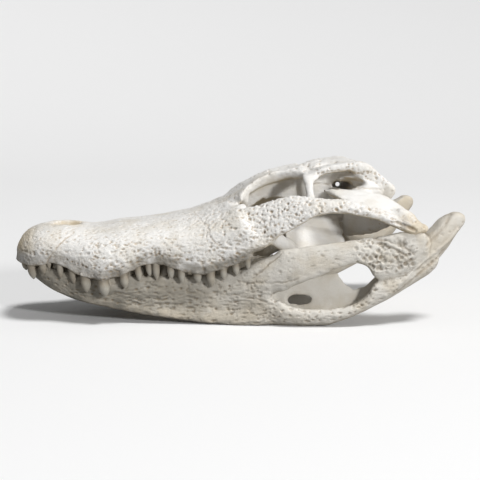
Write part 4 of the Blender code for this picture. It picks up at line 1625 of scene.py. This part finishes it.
@dataclass
class LowerJaw(BoneGroup):
    """One side of the lower jaw."""

    side: Side = Side.LEFT
    parts: tuple[str, ...] = ("dentary", "angular", "surangular", "articular", "splenial")
    seam_station: float = 236.3

    def names(self) -> list[str]:
        """The nodes of this side of the lower jaw."""
        return [f"{part}_{self.side.word}" for part in self.parts]

    def lumps(self) -> list[Lump]:
        """The collars of the teeth."""
        return LOWER_ROW.collars(lambda _: "dentary")

    def cuts(self) -> list[Tunnel | Window]:
        """What is cut through this side.

        Returns:
            The outer fenestra, with its corners rounded.
        """
        outline = (
            (243, 28.5), (252, 35.5), (264, 42.8), (281, 49.4), (298, 56.6), (311, 60.8), (321, 60.2),
            (328.5, 54), (331.8, 44), (328, 32.5), (319, 23.6), (305, 18.2), (284, 16.2), (264, 16.6),
            (252, 19.8), (244, 24.5),
        )
        return [Window(outline, (77, 112), self.side, ("surangular", "angular"))]

    def shape(self, rough: Skin) -> None:
        """Tucks the lower teeth in, and blends the rear bones into the dentary.

        Args:
            rough: This side's rough skin, which is changed.
        """
        rough.points = LOWER_ROW.tucked(rough.points)
        rough.blend((self.seam_station, 0, 0), (1, 0, 0), 6.0, 24)

    def pits(self, salt: int) -> list[Pitting]:
        """The pits of each region.

        Args:
            salt: Gives each side its own places.

        Returns:
            The fields of pits, each on its own bones.
        """

        def low(points: Floats, _: Floats) -> Floats:
            """The jaw's lower half."""
            return smooth_step(60, 24, points[:, 2])

        def net(points: Floats, _: Floats) -> Floats:
            """The rough field under the jaw joint."""
            return band(points[:, 0], 312, 368, 6) * band(points[:, 2], 52, 82, 5)

        return [
            Pitting(("dentary",), (11.0, 3.0, 2.7), 0.42, 0.8, 11 + salt, 0.75, 0.6, low),
            Pitting(("dentary",), (4.6, 3.0, 2.8), 0.36, 0.5, 51 + salt, 0.4, 0.7),
            Pitting(("angular",), (5.4, 3.4, 3.0), 0.44, 0.9, 91 + salt, 0.8, 0.7),
            Pitting(("surangular",), (5.2, 4.0, 4.4), 0.55, 1.7, 131 + salt, 1.0, 0.9, net),
            Pitting(("surangular",), (2.8, 2.6, 2.6), 0.42, 0.7, 151 + salt, 0.7, 0.8, net),
            Pitting(("surangular",), (7.0, 3.4, 3.0), 0.34, 0.4, 171 + salt, 0.45, 0.5),
            Pitting(("articular",), (9.0, 3.4, 5.0), 0.36, 0.4, 211 + salt, 0.5, 0.5),
        ]

    def lines(self, salt: int) -> list[Line]:
        """What is engraved on the outer faces.

        Args:
            salt: Gives each side its own waver.

        Returns:
            Sutures, grooves and ridges. A ridge has a negative depth.
        """
        upper, joint = ("surangular",), ("articular", "surangular")
        rear = ("angular", *joint)
        ridge = ((342, 30), (360, 45), (374, 58), (388, 69), (401, 78), (412, 90))
        groove = ((346, 26), (364, 41), (378, 53), (392, 64), (405, 74), (416, 88))
        channel = ((380, 77), (388, 83), (397, 92), (405, 103), (411, 112))
        seam = ((196, 30), (222, 27), (240, 20), (250, 12))
        return [
            Line(((247, 71), (242, 66), (235, 60), (228, 52), (221, 49)), 0.7, 0.6, 0.8, (), 1.2, 5 + salt),
            Line(((208, 42), (216, 41), (235, 42), (246, 43), (260, 47)), 0.8, 0.5, 0.6, (), 1.4, 6 + salt),
            Line(seam, 0.7, 0.4, 0.45, ("dentary", "angular"), 2.0, 7 + salt),
            Line(ridge, 1.6, -1.3, 0.0, rear, 0.6, 8 + salt),
            Line(groove, 1.3, 1.0, 0.7, rear, 0.6, 9 + salt),
            Line(channel, 2.0, 1.1, 0.6, joint, 0.6, 10 + salt),
            Line(((376, 95), (383, 88), (386, 80), (384, 70)), 0.7, 0.6, 0.8, joint, 1.0, 11 + salt),
            Line(((330, 84), (344, 81), (356, 77), (366, 70)), 1.2, 0.9, 0.7, upper, 1.8, 12 + salt),
            Line(((336, 79), (350, 74), (360, 68)), 1.0, 1.1, 0.9, upper, 1.8, 13 + salt),
            Line(((262, 74), (290, 77), (318, 80)), 3.0, 0.5, 0.0, upper, 1.0, 14 + salt),
        ]

    def holes(self, salt: int) -> list[Foramina]:
        """The vessel holes.

        Args:
            salt: Gives each side its own places.

        Returns:
            Their rows, under the teeth and low on the jaw.
        """
        high = ((22, 46), (60, 38), (110, 36), (160, 36), (215, 40))
        low = ((40, 34), (90, 24), (150, 18), (215, 18))
        return [
            Foramina(high, 20, 0.9, 1.2, 2.5, 8 + salt, ("dentary",)),
            Foramina(low, 16, 0.85, 1.0, 4.0, 9 + salt, ("dentary",)),
        ]

    def sculpt(self, skin: Skin) -> None:
        """Gives this side of the lower jaw its grooves, pits, lines and stains, with painted shade low,
        inside and at the front.

        Args:
            skin: This side's skin.
        """
        salt = self.side.salt
        skin.lift += SWELLING * rumple(skin.points, SWELLING_SIZE, 4 + salt, 2)
        skin.settle()
        for pitting in self.pits(salt):
            carve_pits(skin, pitting)
        wrinkle(skin, Crests(("dentary", "angular"), (12.0, 2.8, 2.4), 0.4, 31 + salt))
        wrinkle(skin, Crests(("surangular", "articular"), (14.0, 3.6, 3.2), 0.25, 33 + salt))
        for line in self.lines(salt):
            engrave(skin, line)
        for holes in self.holes(salt):
            drill(skin, holes)
        seams = {("dentary", "angular"): 0.1, ("dentary", "surangular"): 0.0, ("surangular", "angular"): 0.6}
        mark_sutures(skin, seams, 0.3)
        darken_hollows(skin)
        skin.settle()
        station, _, height = skin.points.T
        # Stain with painted shade: the low edge is darkened as shade; inner faces get a darker tan, partly
        # dust and partly painted shade; the front is partly browner bone and partly painted shade; the rear
        # end gets a light tint.
        inner = smooth_step(0.2, -0.3, outward(skin))
        low = smooth_step(30, 4, height) * band(station, 40, 260, 30)
        end = smooth_step(372, 392, station)
        front = smooth_step(255, 120, station)
        skin.stain = np.clip(0.6 * inner + 0.4 * low + 0.15 * end + 0.5 * front, 0, 1)
        # Painted shade: grey laid over the front of the jaw, under the upper jaw's overhang, and on faces
        # that look down.
        under = smooth_step(0.15, -0.5, skin.normals[:, 2])
        skin.grime = np.clip(0.72 * front + 0.45 * under * smooth_step(330, 200, station), 0, 1)


@dataclass
class Dresser:
    """Turns a sculpted skin into one finished piece for each bone."""

    shop: Workshop
    material: bpy.types.Material
    slot: Slot
    lining: float = 0.8

    def dress(self, skin: Skin) -> list[bpy.types.Object]:
        """Parts a skin at its sutures and finishes each bone.

        Args:
            skin: The sculpted skin.

        Returns:
            One closed piece for each bone, riding on the root in place of its node.
        """
        pieces = []
        for number, bone in enumerate(skin.bones):
            chosen = skin.squares[skin.bone_of == number]
            if not len(chosen):
                log.warning("%s has no skin", bone)
                continue
            used, flat = np.unique(chosen.ravel(), return_inverse=True)
            squares = flat.reshape(-1, 4)
            normals = skin.normals[used]
            added, caps = lined(squares, skin.points[used], normals, self.lining)
            mesh = bpy.data.meshes.new(f"{bone}_bone")
            every = np.concatenate([skin.points[used], added])
            mesh.from_pydata(self.shop.frame_points(every).tolist(), [], squares.tolist() + caps)
            for name, values in (("cavity", skin.cavity), ("stain", skin.stain), ("grime", skin.grime)):
                layer = mesh.attributes.new(name, "FLOAT", "POINT")
                full = np.concatenate([values[used], np.ones(len(added))])
                layer.data.foreach_set("value", full.astype(np.float32))
            mesh.shade_smooth()
            mesh.normals_split_custom_set_from_vertices(np.concatenate([normals, -normals]).tolist())
            mesh.materials.append(self.material)
            piece = bpy.data.objects.new(f"{bone}_bone", mesh)
            bpy.context.scene.collection.objects.link(piece)
            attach(piece, BODY)
            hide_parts(bone)
            pieces.append(piece)
        return pieces


@dataclass
class ToothTemplate:
    """A crown one unit wide and one unit tall, standing root down, for placing on a jaw."""

    sides: int = 14
    rings: int = 16
    flatness: float = 0.9
    lean: float = 0.14

    def width_at(self, share: float) -> float:
        """The crown's outline: a ringed neck, a swelling, then a blunt cone.

        Args:
            share: The share of the height.

        Returns:
            Half the width there.
        """
        if share < 0.5:
            return 0.478 + 0.022 * smooth_step(0.36, 0.48, np.float64(share)) - 0.012 * math.cos(40 * share)
        tail = (share - 0.5) / 0.5
        return 0.5 * (1 - tail**2.0) ** 0.76

    def build(self) -> bpy.types.Object:
        """Turns the crown.

        Returns:
            A mesh object with an along attribute, 0 at the root and 1 at the tip.
        """
        shape = bmesh.new()
        along = shape.verts.layers.float.new("along")
        rings = []
        for row in range(self.rings):
            share = 1 - (1 - row / self.rings) ** 1.25
            bend = self.lean * share**2
            ring = []
            for number in range(self.sides):
                turn = 2 * math.pi * number / self.sides
                wide = self.width_at(share) * (1 + 0.03 * math.cos(3 * turn))
                across = wide * self.flatness * math.sin(turn)
                vert = shape.verts.new((wide * math.cos(turn) + bend, across, share))
                vert[along] = share
                ring.append(vert)
            rings.append(ring)
        tip = shape.verts.new((self.lean, 0, 1))
        tip[along] = 1
        for lower, upper in zip(rings, rings[1:]):
            for i in range(self.sides):
                j = (i + 1) % self.sides
                shape.faces.new((lower[i], lower[j], upper[j], upper[i]))
        for i in range(self.sides):
            shape.faces.new((rings[-1][i], rings[-1][(i + 1) % self.sides], tip))
        shape.faces.new(rings[0][::-1])
        mesh = bpy.data.meshes.new("crown")
        shape.to_mesh(mesh)
        shape.free()
        mesh.shade_smooth()
        template = bpy.data.objects.new("crown", mesh)
        bpy.context.scene.collection.objects.link(template)
        return template


def crown_tree(material: bpy.types.Material) -> bpy.types.NodeTree:
    """Stands a crown on each point of a jaw's tooth row.

    Args:
        material: The enamel.

    Returns:
        A tree with the crown object, how uneven it gets in metres and the seed of that as inputs.
    """
    tree = bpy.data.node_groups.new("tooth row", "GeometryNodeTree")
    for socket, kind in (
        ("Geometry", "NodeSocketGeometry"), ("Crown", "NodeSocketObject"), ("Unevenness", "NodeSocketFloat"),
        ("Seed", "NodeSocketFloat"),
    ):
        tree.interface.new_socket(socket, in_out="INPUT", socket_type=kind)
    tree.interface.new_socket("Geometry", in_out="OUTPUT", socket_type="NodeSocketGeometry")
    nodes, link = tree.nodes, tree.links.new
    start, end = nodes.new("NodeGroupInput"), nodes.new("NodeGroupOutput")
    crown = nodes.new("GeometryNodeObjectInfo")
    stand = nodes.new("GeometryNodeInstanceOnPoints")
    realise = nodes.new("GeometryNodeRealizeInstances")
    shift = nodes.new("GeometryNodeSetPosition")
    waves = nodes.new("ShaderNodeTexNoise")
    waves.noise_dimensions = "4D"
    waves.inputs["Scale"].default_value = 260
    centred = nodes.new("ShaderNodeVectorMath")
    centred.operation = "SUBTRACT"
    centred.inputs[1].default_value = (0.5, 0.5, 0.5)
    sized = nodes.new("ShaderNodeVectorMath")
    sized.operation = "SCALE"
    dress = nodes.new("GeometryNodeSetMaterial")
    dress.inputs["Material"].default_value = material
    for name, socket in (("turn", "Rotation"), ("size", "Scale")):
        reader = nodes.new("GeometryNodeInputNamedAttribute")
        reader.data_type = "FLOAT_VECTOR"
        reader.inputs["Name"].default_value = name
        link(reader.outputs["Attribute"], stand.inputs[socket])
    link(start.outputs["Geometry"], stand.inputs["Points"])
    link(start.outputs["Crown"], crown.inputs["Object"])
    link(crown.outputs["Geometry"], stand.inputs["Instance"])
    link(stand.outputs["Instances"], realise.inputs[0])
    link(realise.outputs[0], shift.inputs["Geometry"])
    link(start.outputs["Seed"], waves.inputs["W"])
    link(waves.outputs["Color"], centred.inputs[0])
    link(centred.outputs[0], sized.inputs[0])
    link(start.outputs["Unevenness"], sized.inputs["Scale"])
    link(sized.outputs[0], shift.inputs["Offset"])
    link(shift.outputs[0], dress.inputs["Geometry"])
    link(dress.outputs[0], end.inputs[0])
    return tree


@dataclass
class Crowns:
    """The crowns of one row on both sides of the skull, over the nodes' plain ones."""

    shop: Workshop
    row: ToothRow
    name: str
    bones: tuple[str, ...]
    slot: Slot
    seed: int
    spare_width: float = 0.9
    spare_length: float = 0.5
    root_depth: float = 5.0
    twist: float = 0.3
    unevenness: float = 0.0004
    tip_lean: float = 0.7
    tip_reach: tuple[float, float] = (1.7, 4.5)

    def tips(self, side: Side) -> list[Vector]:
        """Where the plain teeth end, read from the nodes.

        Args:
            side: The side of the skull.

        Returns:
            One point for each tooth, in skull space.
        """
        blocks = [self.shop.bone_mesh(f"{bone}_{side.word}", [])[0] for bone in self.bones]
        points = np.concatenate(blocks)
        found = []
        for tooth in self.row.teeth:
            spread, _ = self.row.at(tooth.station)
            near = np.abs(points[:, 0] - tooth.station - self.tip_lean) < self.tip_reach[0]
            near &= np.abs(np.abs(points[:, 1]) - spread) < self.tip_reach[1]
            choice = points[near]
            found.append(Vector(choice[choice[:, 2].argmin() if self.row.down else choice[:, 2].argmax()]))
        return found

    def rows(self) -> Floats:
        """The places, turns and sizes of the crowns.

        Returns:
            Rows of nine numbers: the foot of each crown in skull space, its turn in radians and
            its size.
        """
        generator = np.random.default_rng(self.seed)
        crowns = []
        for side in Side:
            for tooth, tip in zip(self.row.teeth, self.tips(side)):
                spread, height = self.row.at(tooth.station)
                deep = self.root_depth if self.row.down else -self.root_depth
                foot = Vector((tooth.station, side.value * float(spread), float(height) + deep))
                up = tip - foot
                rear = (Vector((1, 0, 0)) - up.normalized() * up.normalized().x).normalized()
                rear = rear @ Matrix.Rotation(generator.uniform(-self.twist, self.twist), 3, up.normalized())
                turned = Matrix((rear, up.normalized().cross(rear), up.normalized())).transposed()
                wide = tooth.width + self.spare_width
                crowns.append((*foot, *turned.to_euler(), wide, wide, up.length + self.spare_length))
        return np.asarray(crowns)

    def build(self, tree: bpy.types.NodeTree) -> bpy.types.Object:
        """Stands every crown on its point.

        Args:
            tree: The tree that both rows share.

        Returns:
            One piece with all the crowns.
        """
        rows = self.rows()
        mesh = bpy.data.meshes.new("crown_points")
        mesh.from_pydata(self.shop.frame_points(rows[:, :3]).tolist(), [], [])
        for name, values in (("turn", rows[:, 3:6]), ("size", rows[:, 6:9] * MM)):
            layer = mesh.attributes.new(name, "FLOAT_VECTOR", "POINT")
            layer.data.foreach_set("vector", values.astype(np.float32).ravel())
        holder = bpy.data.objects.new("crown_holder", mesh)
        bpy.context.scene.collection.objects.link(holder)
        template = ToothTemplate().build()
        step = holder.modifiers.new("crowns", "NODES")
        step.node_group = tree
        sockets = {item.name: item.identifier for item in tree.interface.items_tree if item.in_out == "INPUT"}
        step[sockets["Crown"]] = template
        step[sockets["Unevenness"]] = self.unevenness
        step[sockets["Seed"]] = float(self.seed)
        graph = bpy.context.evaluated_depsgraph_get()
        made = bpy.data.meshes.new_from_object(holder.evaluated_get(graph))
        for old in (holder, template):
            bpy.data.objects.remove(old)
        made.name = self.name
        made.shade_smooth()
        piece = bpy.data.objects.new(self.name, made)
        bpy.context.scene.collection.objects.link(piece)
        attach(piece, BODY)
        return piece


@dataclass(frozen=True)
class Lamp:
    """A square soft lamp: the way towards it, its distance and width, and the light it gives there."""

    name: str
    direction: Triple
    distance: float
    width: float
    strength: float

    def hang(self) -> None:
        """Hangs the lamp so that it faces the skull."""
        data = bpy.data.lights.new(self.name, "AREA")
        data.size = self.width
        data.energy = self.strength * math.pi * self.distance**2
        light = bpy.data.objects.new(self.name, data)
        towards = Vector(self.direction).normalized()
        light.location = towards * self.distance
        light.rotation_euler = towards.to_track_quat("Z", "Y").to_euler()
        light.visible_camera = False
        bpy.context.scene.collection.objects.link(light)


@dataclass(frozen=True)
class Sun:
    """A distant lamp that lights the whole floor evenly: the way towards it, its strength and softness."""

    name: str
    direction: Triple
    strength: float
    degrees: float

    def hang(self) -> None:
        """Sets the lamp's direction."""
        data = bpy.data.lights.new(self.name, "SUN")
        data.energy = self.strength
        data.angle = math.radians(self.degrees)
        light = bpy.data.objects.new(self.name, data)
        light.rotation_euler = Vector(self.direction).to_track_quat("Z", "Y").to_euler()
        bpy.context.scene.collection.objects.link(light)


@dataclass
class Studio:
    """A pale floor that sweeps up all round, soft light from above, and the camera."""

    shop: Workshop
    floor_radius: float = 1.6
    sweep: float = 4.5
    sweep_steps: int = 12
    wall: float = 5.5
    sides: int = 72
    seen: float = 0.92
    bounced: float = 0.32
    dullness: float = 0.9
    yaw: float = 8.0
    elevation: float = 8.5
    distance: float = 1.0
    target: Triple = (0.00725, 0.0, 0.0715)
    lens: float = 75.0
    sensor: float = 36.0
    nearest: float = 0.01
    sky: float = 0.2
    lamps: tuple[Lamp | Sun, ...] = (
        Sun("key", (0.26, -0.30, 0.92), 2.15, 14.0),
        Lamp("fill", (0.50, -0.80, 0.33), 3.0, 0.3, 1.85),
    )

    def floor_mesh(self) -> bpy.types.Mesh:
        """Turns the floor's profile.

        Returns:
            A round floor whose edge sweeps up to a wall.
        """
        profile = [(self.floor_radius, 0.0)]
        for step in range(1, self.sweep_steps + 1):
            rise = math.pi / 2 * step / self.sweep_steps
            out, up = self.sweep * math.sin(rise), self.sweep * (1 - math.cos(rise))
            profile.append((self.floor_radius + out, up))
        profile.append((self.floor_radius + self.sweep, self.wall))
        turns = [2 * math.pi * i / self.sides for i in range(self.sides)]
        shape = bmesh.new()
        centre = shape.verts.new((0, 0, 0))
        rings = []
        for reach, height in profile:
            ring = [(reach * math.cos(turn), reach * math.sin(turn), height) for turn in turns]
            rings.append([shape.verts.new(point) for point in ring])
        for i in range(self.sides):
            j = (i + 1) % self.sides
            shape.faces.new((centre, rings[0][i], rings[0][j]))
            for lower, upper in zip(rings, rings[1:]):
                shape.faces.new((lower[j], lower[i], upper[i], upper[j]))
        bmesh.ops.recalc_face_normals(shape, faces=shape.faces)
        mesh = bpy.data.meshes.new("floor")
        shape.to_mesh(mesh)
        shape.free()
        mesh.shade_smooth()
        return mesh

    def floor_material(self) -> bpy.types.Material:
        """The floor's finish: pale where it is seen, and darker for the light that it throws back.

        Returns:
            The material.
        """
        pale = bpy.data.materials.new("pale floor")
        pale.use_nodes = True
        shader = pale.node_tree.nodes["Principled BSDF"]
        path = pale.node_tree.nodes.new("ShaderNodeLightPath")
        tone = pale.node_tree.nodes.new("ShaderNodeMix")
        tone.data_type = "RGBA"
        tone.inputs[6].default_value = (*(self.bounced,) * 3, 1)
        tone.inputs[7].default_value = (*(self.seen,) * 3, 1)
        pale.node_tree.links.new(path.outputs["Is Camera Ray"], tone.inputs[0])
        pale.node_tree.links.new(tone.outputs[2], shader.inputs["Base Color"])
        shader.inputs["Roughness"].default_value = self.dullness
        return pale

    def floor(self) -> None:
        """Lays the floor."""
        mesh = self.floor_mesh()
        mesh.materials.append(self.floor_material())
        floor = bpy.data.objects.new("floor", mesh)
        bpy.context.scene.collection.objects.link(floor)
        floor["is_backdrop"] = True

    def light(self) -> None:
        """Hangs the lamps under a dim white sky."""
        for lamp in self.lamps:
            lamp.hang()
        world = bpy.data.worlds.new("sky")
        world.use_nodes = True
        world.node_tree.nodes["Background"].inputs["Color"].default_value = (1, 1, 1, 1)
        world.node_tree.nodes["Background"].inputs["Strength"].default_value = self.sky
        bpy.context.scene.world = world

    def camera(self) -> None:
        """Places the camera low, a little to the snout's side, at arm's length, as in the photograph."""
        data = bpy.data.cameras.new("camera")
        data.lens, data.sensor_width, data.clip_start = self.lens, self.sensor, self.nearest
        camera = bpy.data.objects.new("camera", data)
        yaw, rise = math.radians(self.yaw), math.radians(self.elevation)
        back = Vector((-math.sin(yaw) * math.cos(rise), -math.cos(yaw) * math.cos(rise), math.sin(rise)))
        camera.location = Vector(self.target) + back * self.distance
        camera.rotation_euler = (-back).to_track_quat("-Z", "Y").to_euler()
        bpy.context.scene.collection.objects.link(camera)
        bpy.context.scene.camera = camera

    def build(self) -> None:
        """Sets up the whole studio."""
        self.floor()
        self.light()
        self.camera()
        bpy.context.scene.view_settings.view_transform = "Standard"


def report(*pieces: bpy.types.Object) -> None:
    """Logs finished pieces.

    Args:
        pieces: The pieces' objects.
    """
    for piece in pieces:
        log.info("%s: %d faces", piece.name, len(piece.data.polygons))


def main() -> None:
    """Builds the pieces in order and reports each one."""
    logging.basicConfig(level=logging.INFO, format="%(message)s", force=True)
    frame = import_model()
    cad_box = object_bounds()
    shop = Workshop(frame["nodes"], cad_box[0][0] / MM)
    upper = Dresser(shop, UPPER_FINISH.material(), Slot.UPPER)
    lower = Dresser(shop, LOWER_FINISH.material(), Slot.LOWER)
    for group, dresser in ((Cranium(), upper), (LowerJaw(Side.LEFT), lower), (LowerJaw(Side.RIGHT), lower)):
        skin = shop.skin(group)
        group.sculpt(skin)
        report(*dresser.dress(skin))
    tree = crown_tree(ENAMEL_FINISH.material())
    for crowns in (
        Crowns(shop, UPPER_ROW, "upper_teeth", ("premaxilla", "maxilla"), Slot.UPPER, 7),
        Crowns(shop, LOWER_ROW, "lower_teeth", ("dentary",), Slot.LOWER, 8),
    ):
        report(crowns.build(tree))
    Studio(shop).build()


if __name__ == "__main__":
    main()
